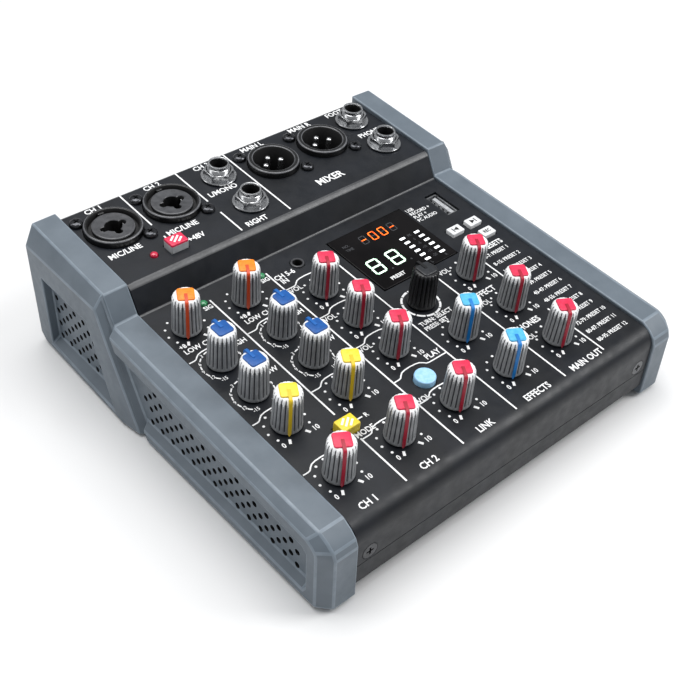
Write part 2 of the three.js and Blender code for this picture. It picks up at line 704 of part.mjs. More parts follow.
function upperDeck() {
  return deckGroup(UPPER, [
    inputBoard(),
    ...COMBO_X.map((x, i) => place(comboSocket(`combo_socket_${i + 1}`), x, SOCKET_D)),
    place(outputSocket("output_socket_left"), OUTPUT_X[0], SOCKET_D),
    place(outputSocket("output_socket_right"), OUTPUT_X[1], SOCKET_D),
    ...JACKS.flatMap(({ name, x, d }) => [
      place(phoneJack(name), x, d),
      place(jackNut(`${name}_nut`), x, d),
    ]),
    place(led("phantom_led", 0xc02038, INPUT_BOARD.high), PHANTOM_LED.x, PHANTOM_LED.d),
    pushButton(PHANTOM_BUTTON, PHANTOM_BUTTON.d, finish(0xd8405a, 0.45, 0)),
  ]);
}

function lowerDeck() {
  return deckGroup(LOWER, [
    controlBoard(),
    ...knobs(),
    ...encoder(),
    ...SMALL_KEYS.map((key) => pushButton(key, -key.v, KEY_WHITE)),
    pushButton(MODE_BUTTON, -MODE_BUTTON.v, finish(0xf0d040, 0.45, 0)),
    pushButton(SOURCE_BUTTON, -SOURCE_BUTTON.v, finish(0xa8cfee, 0.4, 0)),
    ...SIGNAL_LEDS.map(({ name, x, v }) => place(led(name, 0x2f7a52, CONTROL_BOARD.high), x, -v)),
    place(usbSocket(), USB_SLOT.x, -USB_SLOT.v),
    place(auxJack(), AUX_JACK.x, -AUX_JACK.v),
    place(displayModule(), DISPLAY.x, -DISPLAY.v),
    place(displayWindow(), DISPLAY.x, -DISPLAY.v),
  ]);
}

const mixingConsole = new THREE.Group();
mixingConsole.add(
  topPanel(),
  bottomPan(),
  cheek("left_cheek", -1),
  cheek("right_cheek", 1),
  ...frontScrews(),
  ...feet(),
  powerInlet(),
  upperDeck(),
  lowerDeck(),
);

export default mixingConsole;
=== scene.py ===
"""Looks of the mixing console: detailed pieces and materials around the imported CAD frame, printed panels,
floor, lights and camera. Shapes are drawn in millimetres in a local frame and placed in the row frame."""

import json
from contextlib import contextmanager
from math import cos, pi, radians, sin, sqrt

import bmesh
import bpy
from mathutils import Matrix, Vector


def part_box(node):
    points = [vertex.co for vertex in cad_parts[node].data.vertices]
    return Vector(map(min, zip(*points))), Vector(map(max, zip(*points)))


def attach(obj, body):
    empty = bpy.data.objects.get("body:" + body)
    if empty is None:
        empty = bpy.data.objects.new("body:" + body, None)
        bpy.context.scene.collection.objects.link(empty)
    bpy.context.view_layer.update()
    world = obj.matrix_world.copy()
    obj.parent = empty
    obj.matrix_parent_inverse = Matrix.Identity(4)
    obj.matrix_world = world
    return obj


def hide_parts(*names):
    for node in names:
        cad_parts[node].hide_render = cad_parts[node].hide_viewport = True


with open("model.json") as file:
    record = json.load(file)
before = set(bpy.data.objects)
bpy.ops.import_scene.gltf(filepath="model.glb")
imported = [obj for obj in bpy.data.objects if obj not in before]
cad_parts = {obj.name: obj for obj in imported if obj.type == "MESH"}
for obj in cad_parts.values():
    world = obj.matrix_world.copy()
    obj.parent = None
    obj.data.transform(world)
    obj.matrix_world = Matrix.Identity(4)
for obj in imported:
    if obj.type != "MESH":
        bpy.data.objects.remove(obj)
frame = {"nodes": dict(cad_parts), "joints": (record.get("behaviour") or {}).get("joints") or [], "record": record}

bpy.context.view_layer.update()

MM = 0.001
NODES = frame["nodes"]
JOINT_OF = {joint["child"]: joint for joint in frame["joints"]}
MOUNTS = {mount["name"]: mount for mount in frame["record"]["mounts"]}

# Decks: x across, y back, h off the painted face. Each is placed from one point that the record gives.
COLUMNS = [-63, -37, -11, 15, 41]
FIRST_GAIN = (-63, -14.8, 0)
FIRST_COMBO_RIM = (-49.7, 30.2, 2.6)
SOCKET_ROW = 30.2
COMBO_COLUMNS = {"combo_socket_1": -59.8, "combo_socket_2": -34}
OUTPUT_COLUMNS = {"output_socket_left": 15, "output_socket_right": 40.6}
LINE_JACKS = {"line_jack_left": (-8.4, 35.3), "line_jack_right": (-8.4, 14.7)}
RIGHT_JACKS = {"footswitch_jack": (61.8, 35.6), "headphone_jack": (61.8, 15.1)}
USB_PLACE, AUX_PLACE = (63.5, -14.3), (-8.9, -9.6)
SOCKET_HALF = (10.95, 13)
SCREW_X, SCREW_Y = 9.5, 10
SOCKET_LOW = -23.9
SOCKET_SIDES = 96
UNDER_SHEET = -1.8
PIN_CIRCLE, PLUG_ANGLES = 3.81, (180, 0, 270)
NUT_CORNER = 6.3
INLET_RIM_RADIUS = 3.7
LAMP_RADIUS = 1.45
PRINT_LOW, PRINT_HIGH = -0.02, 0.045
LETTER_WIDTH = 0.88
CAP_HEIGHT_SHARE = 0.682  # of Blender's built-in font


def deck_frame(point, known):
    """The matrix from a deck's millimetres to the row frame, where known, on the deck, is at point."""
    normal = Vector(JOINT_OF["gain_knob_1"]["axis"]).normalized()
    across = Vector((1, 0, 0))
    axes = Matrix((across, normal.cross(across), normal)).transposed().to_4x4()
    return Matrix.Translation(point) @ axes @ Matrix.Scale(MM, 4) @ Matrix.Translation(-Vector(known))


LOWER = deck_frame(JOINT_OF["gain_knob_1"]["pos_m"], FIRST_GAIN)
UPPER = deck_frame(MOUNTS["combo_1_rim"]["pos_m"], FIRST_COMBO_RIM)
ROW = Matrix.Scale(MM, 4)


def on_deck(deck, x, y):
    return deck @ Matrix.Translation((x, y, 0))


# Shaders


def tone(code):
    """A linear colour from an sRGB code such as 'a0b0c0'."""
    parts = [int(code[i : i + 2], 16) / 255 for i in (0, 2, 4)]
    return tuple(p / 12.92 if p <= 0.04045 else ((p + 0.055) / 1.055) ** 2.4 for p in parts) + (1,)


def node(tree, kind, inputs=(), **settings):
    made = tree.nodes.new("ShaderNode" + kind)
    for key, value in settings.items():
        setattr(made, key, value)
    for key, value in dict(inputs).items():
        if isinstance(value, bpy.types.NodeSocket):
            tree.links.new(value, made.inputs[key])
        else:
            made.inputs[key].default_value = value
    return made


def noise(tree, size, detail=3, stretch=(1, 1, 1)):
    """Noise whose features are about size millimetres wide, drawn out by stretch."""
    where = node(tree, "TexCoord").outputs["Object"]
    scaled = node(tree, "Mapping", {"Vector": where, "Scale": stretch}).outputs["Vector"]
    made = node(tree, "TexNoise", {"Vector": scaled, "Scale": 1 / (size * MM), "Detail": detail})
    return made.outputs["Fac"]


def ramp(tree, value, stops):
    made = node(tree, "ValToRGB", {"Fac": value})
    elements = made.color_ramp.elements
    while len(elements) < len(stops):
        elements.new(0.5)
    for element, (position, colour) in zip(elements, stops):
        element.position = position
        element.color = colour
    return made.outputs["Color"]


def spread(tree, value, low, high, start=0.3, end=0.7):
    """value, from start to end, carried to low to high."""
    names = {"From Min": start, "From Max": end, "To Min": low, "To Max": high}
    return node(tree, "MapRange", {"Value": value, **names}).outputs["Result"]


def blend(tree, share, first, second):
    sockets = {0: share, 6: first, 7: second}
    return node(tree, "Mix", sockets, data_type="RGBA", clamp_factor=True).outputs[2]


def edges(tree, radius):
    """1 on convex and concave edges, within radius millimetres, and 0 on flats."""
    rounded = node(tree, "Bevel", {"Radius": radius * MM}, samples=6).outputs["Normal"]
    flat = node(tree, "NewGeometry").outputs["Normal"]
    near = node(tree, "VectorMath", {0: rounded, 1: flat}, operation="DOT_PRODUCT").outputs["Value"]
    away = node(tree, "Math", {0: 1.0, 1: near}, operation="SUBTRACT").outputs[0]
    return spread(tree, away, 0, 1, 0.02, 0.12)


def surface(name, dark, light, rough, cloud, grain=(0.15, 0.012), streak=(1, 1, 1), edge_highlight=None, **fixed):
    """A procedural finish: cloudy colour from dark to light, uneven roughness and a fine grain in relief.
    Its edge colour and radius, if given, paint a patchy highlight along its edges."""
    material = bpy.data.materials.new(name)
    material.use_nodes = True
    tree = material.node_tree
    main = tree.nodes["Principled BSDF"]
    colour = ramp(tree, noise(tree, cloud, 5), [(0.32, tone(dark)), (0.68, tone(light))])
    # Painted highlight: the edge colour laid in patches along convex and concave edges.
    if edge_highlight:
        patchy = spread(tree, noise(tree, 4), 0.15, 1, 0.35, 0.65)
        highlight_mask = node(tree, "Math", {0: edges(tree, edge_highlight[1]), 1: patchy}, operation="MULTIPLY").outputs[0]
        colour = blend(tree, highlight_mask, colour, tone(edge_highlight[0]))
    tree.links.new(colour, main.inputs["Base Color"])
    uneven = noise(tree, cloud / 5, 4, streak)
    tree.links.new(spread(tree, uneven, *rough), main.inputs["Roughness"])
    relief = noise(tree, grain[0], 2, streak)
    bump = node(tree, "Bump", {"Height": relief, "Strength": 0.6, "Distance": grain[1] * MM})
    tree.links.new(bump.outputs["Normal"], main.inputs["Normal"])
    for key, value in fixed.items():
        main.inputs[key.replace("_", " ").title().replace("Ior", "IOR")].default_value = value
    return material


def lamp(name, colour, edge, strength):
    """Light from behind a window: colour in the middle of each cell, edge where it thins out."""
    material = bpy.data.materials.new(name)
    material.use_nodes = True
    tree = material.node_tree
    main = tree.nodes["Principled BSDF"]
    glow = ramp(tree, noise(tree, 0.5), [(0.3, tone(edge)), (0.6, tone(colour))])
    tree.links.new(glow, main.inputs["Emission Color"])
    tree.links.new(glow, main.inputs["Base Color"])
    main.inputs["Emission Strength"].default_value = strength
    main.inputs["Roughness"].default_value = 0.3
    return material


# The cheek's edges carry a patchy painted highlight in a lighter blue-grey.
CHEEK = surface("cheek_plastic", "58626b", "636d76", (0.42, 0.55), 14, (0.22, 0.035), edge_highlight=("8b98a3", 0.3))
# Lighter finish for the cheeks' rounded edges: a painted highlight.
CHEEK_EDGE_HIGHLIGHT = surface("cheek_edge_highlight", "6c7781", "7b8690", (0.34, 0.46), 5, (0.22, 0.03))
PANEL = surface(
    "panel_powder_coat", "090c11", "12161d", (0.36, 0.5), 20, (0.3, 0.035), specular_ior_level=0.38
)
# Lighter finish for the sheet's folds: a painted highlight.
PANEL_FOLD_HIGHLIGHT = surface("panel_fold_highlight", "3a3b3d", "4b4c4e", (0.3, 0.42), 6, (0.3, 0.02))
BOARD = surface("circuit_board", "123b27", "1b5236", (0.4, 0.6), 3, (0.4, 0.03))
SOCKET = surface("socket_plastic", "08090a", "0e0f11", (0.24, 0.38), 5, (0.2, 0.02))
# Lighter rings on socket collars and disc edges: painted highlights.
SOCKET_RIM_HIGHLIGHT = surface("socket_rim_highlight", "4c4d50", "68696c", (0.2, 0.34), 3, (0.2, 0.012))
DISC = surface("socket_disc", "323336", "48494c", (0.26, 0.45), 2.5, (0.18, 0.03))
# Near-black painted shade for vent walls, socket wells, bores and sunken rings.
WELL_SHADE = surface("recess_shade", "050506", "09090a", (0.5, 0.7), 4, (0.2, 0.02))
NICKEL = surface("nickel_plate", "b5b6b8", "d3d4d5", (0.16, 0.3), 2, (0.5, 0.006), (1, 1, 5), metallic=1.0)
KNOB = surface("knob_plastic", "828486", "929496", (0.34, 0.48), 3)
# Darker finish in the knobs' flutes: painted shade.
KNOB_GROOVE_SHADE = surface("knob_groove_shade", "404247", "4d4f54", (0.4, 0.55), 3)
# Lighter band where the knob's crown highlight grades into the body: painted highlight.
KNOB_FADE_HIGHLIGHT = surface("knob_fade_highlight", "a3a5a7", "b8babb", (0.3, 0.44), 2)
# White crown and ridge fingers on the knobs: painted highlight.
KNOB_RIM_HIGHLIGHT = surface("knob_rim_highlight", "e6e7e8", "f4f5f5", (0.25, 0.4), 2, (0.2, 0.01))
ENCODER = surface("encoder_plastic", "0a0b0d", "101114", (0.28, 0.42), 3, (0.15, 0.01))
# Darker finish in the encoder's flutes: painted shade.
ENCODER_GROOVE_SHADE = surface("encoder_groove_shade", "040405", "070708", (0.4, 0.55), 3, (0.15, 0.01))
ENCODER_RIM = surface("encoder_rim", "1e2023", "2a2c30", (0.25, 0.4), 2, (0.2, 0.01))
KEY = surface("key_plastic", "cfd1d3", "e2e3e4", (0.35, 0.5), 2)
KEY_GREY = surface("key_body_plastic", "9b9da0", "b0b2b4", (0.4, 0.55), 2)
RUBBER = surface("foot_rubber", "0c0c0c", "171717", (0.75, 0.95), 2, (0.3, 0.06))
WINDOW = surface("display_tint", "0a090a", "110f10", (0.08, 0.2), 8, (2.5, 0.002), specular_ior_level=0.12)
STEEL = surface("black_steel", "3c3d40", "505154", (0.16, 0.28), 1.5, (0.25, 0.01), metallic=0.9)
INK = surface("print_ink", "dfe0e0", "f6f6f6", (0.5, 0.65), 0.8, (0.12, 0.006))
DARK_INK = surface("dark_ink", "0b0b0c", "161618", (0.5, 0.65), 0.8, (0.12, 0.006))
DIM_INK = surface("dim_ink", "2c2d30", "3a3b3f", (0.3, 0.45), 0.8, (0.12, 0.004))
RED_LENS = surface("red_lens", "a50f2c", "d2284b", (0.05, 0.12), 0.8, (0.4, 0.004), coat_weight=0.6)
GREEN_LENS = surface("green_lens", "1f6a40", "3f9a66", (0.05, 0.12), 0.8, (0.4, 0.004), coat_weight=0.6)
SOURCE_BLUE = surface("source_key_plastic", "8fc4ea", "a9d3f1", (0.25, 0.4), 1.5, (0.15, 0.01))
WARM_DIGIT = lamp("warm_digits", "ff7a20", "dc260a", 1.8)
COOL_DIGIT = lamp("cool_digits", "e9fff0", "7fd796", 1.5)
BAR_LIGHT = lamp("meter_bars", "ffffff", "dfe8f0", 1.1)

CAP_TONES = {
    "orange": ("ee7a0c", "f88c1c", "c8400a"),
    "blue": ("02488e", "04549e", "065ba8"),
    "yellow": ("e6c92e", "efd645", "dcba18"),
    "red": ("cf2146", "dc3357", "a00a2a"),
    "sky": ("43a6d2", "5cb8dd", "0b76c2"),
}


def cap_finishes():
    """For each cap colour, its finish and that of its pointer."""
    made = {}
    for name, (dark, light, line) in CAP_TONES.items():
        cap = surface(name + "_cap", dark, light, (0.3, 0.45), 1.2, (0.15, 0.02))
        made[name] = (cap, surface(name + "_pointer", line, line, (0.32, 0.5), 1.2, (0.12, 0.02)))
    return made


CAPS = cap_finishes()


# Solids: (points, faces), in millimetres

SIDES = 64
EDGE_STEPS = 4
SAME_POINT = 1e-7  # metres


def ring(radius, height, sides=SIDES):
    """Points round the axis at a height. radius is a number, or a function of the angle."""
    points = []
    for i in range(sides):
        angle = 2 * pi * i / sides
        reach = radius(angle) if callable(radius) else radius
        points.append((reach * cos(angle), reach * sin(angle), height))
    return points


def ring_stack(profile, sides=SIDES):
    return [ring(radius, height, sides) for radius, height in profile]


def loft(rings, low=True, high=True, closed=False):
    """A skin through rings whose points match one to one, closed by flat ends or into a loop."""
    count = len(rings[0])
    points = [point for one in rings for point in one]
    faces = []
    for i in range(len(rings) if closed else len(rings) - 1):
        first, second = i * count, (i + 1) % len(rings) * count
        for k in range(count):
            after = (k + 1) % count
            faces.append((first + k, first + after, second + after, second + k))
    if low and not closed:
        faces.append(tuple(reversed(range(count))))
    if high and not closed:
        faces.append(tuple(range(len(points) - count, len(points))))
    return points, faces


def lathe(profile, sides=SIDES, closed=False):
    return loft(ring_stack(profile, sides), closed=closed)


def bands(*segments):
    """Parts of one closed solid in several finishes, each segment a (material, rings) joined to the last."""
    parts, last = [], []
    for i, (material, rings) in enumerate(segments):
        skin = loft(last + rings, low=i == 0, high=i == len(segments) - 1)
        parts.append((skin, material))
        last = rings[-1:]
    return parts


def slab(outline, low, high):
    return loft([[(x, y, height) for x, y in outline] for height in (low, high)])


def moved(solid, x=0.0, y=0.0, h=0.0, turn=0.0):
    c, s = cos(turn), sin(turn)
    points = [(x + px * c - py * s, y + px * s + py * c, h + ph) for px, py, ph in solid[0]]
    return points, solid[1]


def merged(solids):
    points, faces = [], []
    for some, sides in solids:
        faces += [tuple(i + len(points) for i in side) for side in sides]
        points += some
    return points, faces


def around(solid, radius, angles):
    """Copies of a solid on a circle, each turned with its place."""
    copies = []
    for angle in map(radians, angles):
        copies.append(moved(solid, radius * cos(angle), radius * sin(angle), turn=angle))
    return merged(copies)


def rounded(half_x, half_y, corner, steps=5):
    """The outline of a rectangle with round corners."""
    outline = []
    for quarter, (sign_x, sign_y) in enumerate(((1, 1), (-1, 1), (-1, -1), (1, -1))):
        for i in range(steps + 1):
            angle = (quarter + i / steps) * pi / 2
            x = sign_x * (half_x - corner) + corner * cos(angle)
            outline.append((x, sign_y * (half_y - corner) + corner * sin(angle)))
    return outline


def soft_block(half_x, half_y, corner, low, high, edge):
    """A block with round corners and a rounded upper edge."""
    rings = [[(x, y, low) for x, y in rounded(half_x, half_y, corner)]]
    for i in range(EDGE_STEPS + 1):
        angle = i / EDGE_STEPS * pi / 2
        shrink = edge * (1 - cos(angle))
        height = high - edge + edge * sin(angle)
        outline = rounded(half_x - shrink, half_y - shrink, max(corner - shrink, 0.05))
        rings.append([(x, y, height) for x, y in outline])
    return loft(rings)


def stroke(points, width):
    """A printed line of a width along points on a deck."""
    left, right = [], []
    path = [Vector(point) for point in points]
    for i, point in enumerate(path):
        along = (path[min(i + 1, len(path) - 1)] - path[max(i - 1, 0)]).normalized()
        side = Vector((-along.y, along.x)) * width / 2
        left.append(point + side)
        right.append(point - side)
    count = len(path)
    bottom, top = [[(p.x, p.y, height) for p in left + right[::-1]] for height in (PRINT_LOW, PRINT_HIGH)]
    faces = []
    for i in range(count - 1):
        a, b, c, d = i, i + 1, 2 * count - 2 - i, 2 * count - 1 - i
        faces.append((a, d, c, b))
        faces.append(tuple(k + 2 * count for k in (a, b, c, d)))
    for i in range(2 * count):
        j = (i + 1) % (2 * count)
        faces.append((i, j, j + 2 * count, i + 2 * count))
    return bottom + top, faces


def linked(name, data):
    made = bpy.data.objects.new(name, data)
    bpy.context.scene.collection.objects.link(made)
    return made


def lettering(text, size, x, y, align="CENTER", weight=0.03, h=0.0):
    """Raised print of a cap height of size millimetres, centred at or starting from x, y."""
    curve = bpy.data.curves.new("lettering", "FONT")
    curve.body = text
    curve.size = size / CAP_HEIGHT_SHARE
    curve.offset = weight * size
    curve.resolution_u = 2
    curve.align_x = align
    curve.align_y = "CENTER"
    curve.extrude = (PRINT_HIGH - PRINT_LOW) / 2
    holder = linked("lettering", curve)
    graph = bpy.context.evaluated_depsgraph_get()
    mesh = bpy.data.meshes.new_from_object(holder.evaluated_get(graph))
    middle = (PRINT_HIGH + PRINT_LOW) / 2
    points = [(v.co.x * LETTER_WIDTH, v.co.y, v.co.z + middle) for v in mesh.vertices]
    faces = [tuple(p.vertices) for p in mesh.polygons]
    bpy.data.objects.remove(holder)
    bpy.data.curves.remove(curve)
    bpy.data.meshes.remove(mesh)
    return moved((points, faces), x, y, h)


@contextmanager
def opened(mesh):
    """The mesh as an editable one, written back at the end."""
    made = bmesh.new()
    made.from_mesh(mesh)
    yield made
    made.to_mesh(mesh)
    made.free()


def tidy_mesh(mesh, smooth_degrees):
    """Merges matching points, turns faces outwards and shades it smooth up to an angle."""
    with opened(mesh) as made:
        bmesh.ops.remove_doubles(made, verts=made.verts, dist=SAME_POINT)
        bmesh.ops.recalc_face_normals(made, faces=made.faces)
        for face in made.faces:
            face.smooth = True
    mesh.set_sharp_from_angle(angle=radians(smooth_degrees))


def piece(name, parts, place, body="chassis", replaces=(), smooth=38):
    """One object from parts of (solid, material), drawn in the frame place and riding on a body."""
    points, faces, finishes, indices = [], [], [], []
    for (some, sides), material in parts:
        if material not in finishes:
            finishes.append(material)
        faces += [tuple(i + len(points) for i in side) for side in sides]
        indices += [finishes.index(material)] * len(sides)
        points += some
    mesh = bpy.data.meshes.new(name)
    mesh.from_pydata([place @ Vector(point) for point in points], [], faces)
    for material in finishes:
        mesh.materials.append(material)
    mesh.polygons.foreach_set("material_index", indices)
    tidy_mesh(mesh, smooth)
    made = linked(name, mesh)
    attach(made, body)
    if replaces:
        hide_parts(*replaces)


def refinish(mesh, *materials):
    """Gives a CAD mesh its finishes and takes its stored normals away."""
    mesh.materials.clear()
    for material in materials:
        mesh.materials.append(material)
    if "custom_normal" in mesh.attributes:
        mesh.attributes.remove(mesh.attributes["custom_normal"])


def weigh_normals(owner):
    weighted = owner.modifiers.new("weighted", "WEIGHTED_NORMAL")
    weighted.keep_sharp = True


def repaint(name, material):
    """Gives a CAD node its finish, joins its split faces and smooths its shading without moving it."""
    kept = NODES[name]
    refinish(kept.data, material)
    kept.data.polygons.foreach_set("use_smooth", [True] * len(kept.data.polygons))
    weld = kept.modifiers.new("weld", "WELD")
    weld.merge_threshold = 1e-6
    split = kept.modifiers.new("split", "EDGE_SPLIT")
    split.split_angle = radians(36)
    weigh_normals(kept)


# Knobs

FLUTES = 20
FLUTE_STEPS = 8
KNOB_BASE, KNOB_TOP = 0.7, 16.0
SHAFT_RADIUS, SHAFT_END = 3.0, -10.6
KNOB_NAMES = [name for name in NODES if name.endswith(("_knob", "_knob_1", "_knob_2"))]
KNOB_COLOURS = {
    "gain_knob": "orange",
    "high_knob": "blue",
    "low_knob": "blue",
    "effect_knob": "yellow",
    "effect_return_knob": "sky",
    "effect_send_knob": "sky",
}


def fluted(radius, height, depth):
    """A ring with narrow grooves between wide rounded ridges."""

    def reach(angle):
        return radius - depth * max(cos(FLUTES * angle), 0) ** 3

    return ring(reach, height, FLUTES * FLUTE_STEPS)


def knob_skin(body, groove_shade, fade_highlight, rim, bored):
    """The fluted body with a skirt at its foot, painted shade in its grooves, and a painted highlight on its crown
    whose fingers run down the ridges.
    """
    rows = [
        (5.15, KNOB_BASE, 0), (5.35, 0.9, 0), (5.35, 1.5, 0), (5.3, 2.0, 0.3), (5.27, 2.9, 0.52),
        (4.94, 12.3, 0.6), (4.89, 13.3, 0.6), (4.85, 14.1, 0.6), (4.78, 14.9, 0.56), (4.58, 15.45, 0.46),
        (4.25, 15.8, 0.22), (3.9, KNOB_TOP, 0), (3.0, KNOB_TOP + 0.05, 0),
    ]
    if bored:
        rows = [(3.35, 12.8, 0), (3.35, KNOB_BASE, 0)] + rows
    points, faces = loft([fluted(*row) for row in rows])
    count = FLUTES * FLUTE_STEPS
    sorted_faces = {body: [], groove_shade: [], fade_highlight: [], rim: []}
    for index, face in enumerate(faces):
        row, column = divmod(index, count)
        height = rows[row][1] if row < len(rows) - 1 else KNOB_TOP
        off_groove = min(column % FLUTE_STEPS, FLUTE_STEPS - 1 - column % FLUTE_STEPS)
        # Groove columns get painted shade; the crown and the fingers down the ridges get a painted highlight,
        # graded through a lighter band.
        finish = body
        if off_groove == 0 and 1.9 < height < 15.4:
            finish = groove_shade
        elif height > 14 or (height > 13 and off_groove == 3):
            finish = rim
        elif off_groove > 1 and height > (12 if off_groove == 3 else 13):
            finish = fade_highlight
        sorted_faces[finish].append(face)
    return [((points, some), finish) for finish, some in sorted_faces.items() if some]


def knob_cap():
    """The rounded square inlay on top of a knob."""
    return soft_block(3.05, 3.05, 1.0, KNOB_TOP - 0.2, KNOB_TOP + 0.6, 0.3)


def knob_pointer():
    """The raised line from the middle of the cap, over the edge and down the side to a tip at the foot."""
    outline = [
        (0.1, 16.2, 0.62), (0.1, 16.8, 0.56), (4.3, 16.78, 0.56), (4.95, 16.5, 0.56), (5.25, 15.9, 0.56),
        (5.3, 15.0, 0.56), (5.8, 1.8, 0.62), (5.75, 0.55, 0.12), (5.3, 0.5, 0.12), (4.7, 14.6, 0.68),
        (4.1, 15.6, 0.68), (2.6, 16.0, 0.62),
    ]
    points = [(side * half, y, z) for side in (-1, 1) for y, z, half in outline]
    count = len(outline)
    faces = [(i, (i + 1) % count, (i + 1) % count + count, i + count) for i in range(count)]
    return points, faces + [tuple(range(count)), tuple(range(2 * count - 1, count - 1, -1))]


def knob_place(name):
    """A knob's frame at rest: on its axis, with its pointer at the middle of its range."""
    joint = JOINT_OF[name]
    spot = LOWER.inverted() @ Vector(joint["pos_m"])
    low, high = joint.get("range_deg", (0, 0))
    return LOWER @ Matrix.Translation(spot) @ Matrix.Rotation(radians(-(low + high) / 2), 4, "Z")


def knob_kind(name):
    """A knob's name without its channel."""
    return name.removesuffix("_1").removesuffix("_2")


def knobs():
    shaft = lathe([(SHAFT_RADIUS, SHAFT_END), (SHAFT_RADIUS, KNOB_BASE + 0.5)], 32)
    for name in KNOB_NAMES:
        if name == "encoder_knob":
            # The encoder's grooves take painted shade; its crown keeps the body colour.
            parts = knob_skin(ENCODER, ENCODER_GROOVE_SHADE, ENCODER, ENCODER, bored=True)
            parts += [(knob_cap(), ENCODER_RIM), (knob_pointer(), ENCODER)]
        else:
            cap, pointer = CAPS[KNOB_COLOURS.get(knob_kind(name), "red")]
            parts = knob_skin(KNOB, KNOB_GROOVE_SHADE, KNOB_FADE_HIGHLIGHT, KNOB_RIM_HIGHLIGHT, bored=False)
            parts += [(shaft, NICKEL), (knob_cap(), cap), (knob_pointer(), pointer)]
        piece(name + "_fluted", parts, knob_place(name), name, [name], smooth=50)


# Buttons

KEY_LOW, STEM_RADIUS, STEM_END = -3.2, 1.3, -8
SMALL_KEY, TALL_KEY = (3.2, 2.2), (3.7, 2.8)
SMALL_KEY_TOP, TALL_KEY_TOP, ROUND_KEY_TOP = 1.4, 3.6, 2.2
KEY_CORNER = 0.5
SMALL_KEYS = {"previous_button": (54.5, -31), "next_button": (64.2, -31.1), "record_button": (64.3, -39)}
PHANTOM_PLACE, MODE_PLACE, SOURCE_PLACE = (-46.6, 9.1), (-48.8, -84), (-12.4, -83)
STRIPE_SLOPE, STRIPE_WIDTH = 0.8, 0.75


def key_stem():
    return lathe([(STEM_RADIUS, STEM_END), (STEM_RADIUS, KEY_LOW + 0.2)], 24)


def arrow_mark(side):
    """A triangle with a bar, pointing to side -1 or 1."""
    triangle = [(-1.3, 1.15), (-1.3, -1.15), (0.9, 0)]
    bar = [(1.0, -1.15), (1.45, -1.15), (1.45, 1.15), (1.0, 1.15)]
    outlines = [[(side * x, y) for x, y in shape] for shape in (triangle, bar)]
    return merged([slab(outline, SMALL_KEY_TOP - 0.02, SMALL_KEY_TOP + 0.04) for outline in outlines])


def small_keys():
    marks = {
        "previous_button": arrow_mark(-1),
        "next_button": arrow_mark(1),
        "record_button": lettering("REC", 1.6, 0, 0, h=SMALL_KEY_TOP),
    }
    for name, (x, y) in SMALL_KEYS.items():
        top = soft_block(*SMALL_KEY, KEY_CORNER, KEY_LOW, SMALL_KEY_TOP, 0.3)
        parts = [(top, KEY), (key_stem(), KEY_GREY), (marks[name], DARK_INK)]
        piece(name + "_cap", parts, on_deck(LOWER, x, y), name, [name])


def stripes(top):
    """Three diagonal stripes across a key's top."""
    lines = []
    for shift, reach in ((-1.15, 1.15), (0, 1.6), (1.15, 1.15)):
        middle = -STRIPE_SLOPE * shift
        rise = STRIPE_SLOPE * reach
        ends = [(shift - reach, middle - rise), (shift + reach, middle + rise)]
        lines.append(stroke(ends, STRIPE_WIDTH))
    return moved(merged(lines), h=top)


def latching_keys():
    """The phantom key, a grey body with a red top, and the yellow mode key, both striped."""
    red, yellow = CAPS["red"][0], CAPS["yellow"][0]
    half_x, half_y = (half - 0.04 for half in TALL_KEY)
    body = soft_block(*TALL_KEY, KEY_CORNER, KEY_LOW, TALL_KEY_TOP - 0.9, 0.1)
    top = soft_block(half_x, half_y, KEY_CORNER, TALL_KEY_TOP - 0.95, TALL_KEY_TOP, 0.4)
    marks = stripes(TALL_KEY_TOP)
    for name, deck, (x, y), shell, cap, slot in (
        ("phantom_button", UPPER, PHANTOM_PLACE, KEY_GREY, red, "red_key"),
        ("mode_button", LOWER, MODE_PLACE, yellow, yellow, "yellow_key"),
    ):
        parts = [(body, shell), (top, cap), (marks, INK), (key_stem(), KEY_GREY)]
        piece(name + "_cap", parts, on_deck(deck, x, y), name, [name])


def source_key():
    """The round key, with a rounded rim and a slightly dished top."""
    top = ROUND_KEY_TOP
    profile = [(3.95, KEY_LOW), (3.95, top - 0.55), (3.87, top - 0.25), (3.65, top - 0.04), (3.35, top)]
    profile += [(2.9, top - 0.05), (2.0, top - 0.12), (1.0, top - 0.16), (0.3, top - 0.17)]
    parts = [(lathe(profile), SOURCE_BLUE), (key_stem(), KEY_GREY)]
    place = on_deck(LOWER, *SOURCE_PLACE)
    piece("source_button_cap", parts, place, "source_button", ["source_button"])


# Sockets


def box_reach(half_x, half_y):
    """The radius of a rectangle at an angle."""

    def reach(angle):
        across, along = abs(cos(angle)), abs(sin(angle))
        return min(half_x / max(across, 1e-6), half_y / max(along, 1e-6))

    return reach


def nut_reach(most):
    """The radius of a nut's hexagon, held under most."""

    def reach(angle):
        turned = (angle + pi / 6) % (pi / 3) - pi / 6
        return min(NUT_CORNER * cos(pi / 6) / cos(turned), most)

    return reach


def cross_reach(arm, half):
    long, wide = box_reach(arm, half), box_reach(half, arm)
    return lambda angle: max(long(angle), wide(angle))


def lobed_reach(bore, lobe, angles):
    """The radius of a round hole joined with smaller ones on the pin circle."""

    def reach(angle):
        most = bore
        for middle in angles:
            off = angle - radians(middle)
            inside = lobe**2 - (PIN_CIRCLE * sin(off)) ** 2
            if inside > 0 and cos(off) > 0:
                most = max(most, PIN_CIRCLE * cos(off) + sqrt(inside))
        return most

    return reach


def housing(half_x, half_y, low, sides=SIDES):
    """The rings of a boxy body that hangs under the sheet, down to low."""
    return ring_stack([(box_reach(half_x, half_y), height) for height in (low, UNDER_SHEET)], sides)


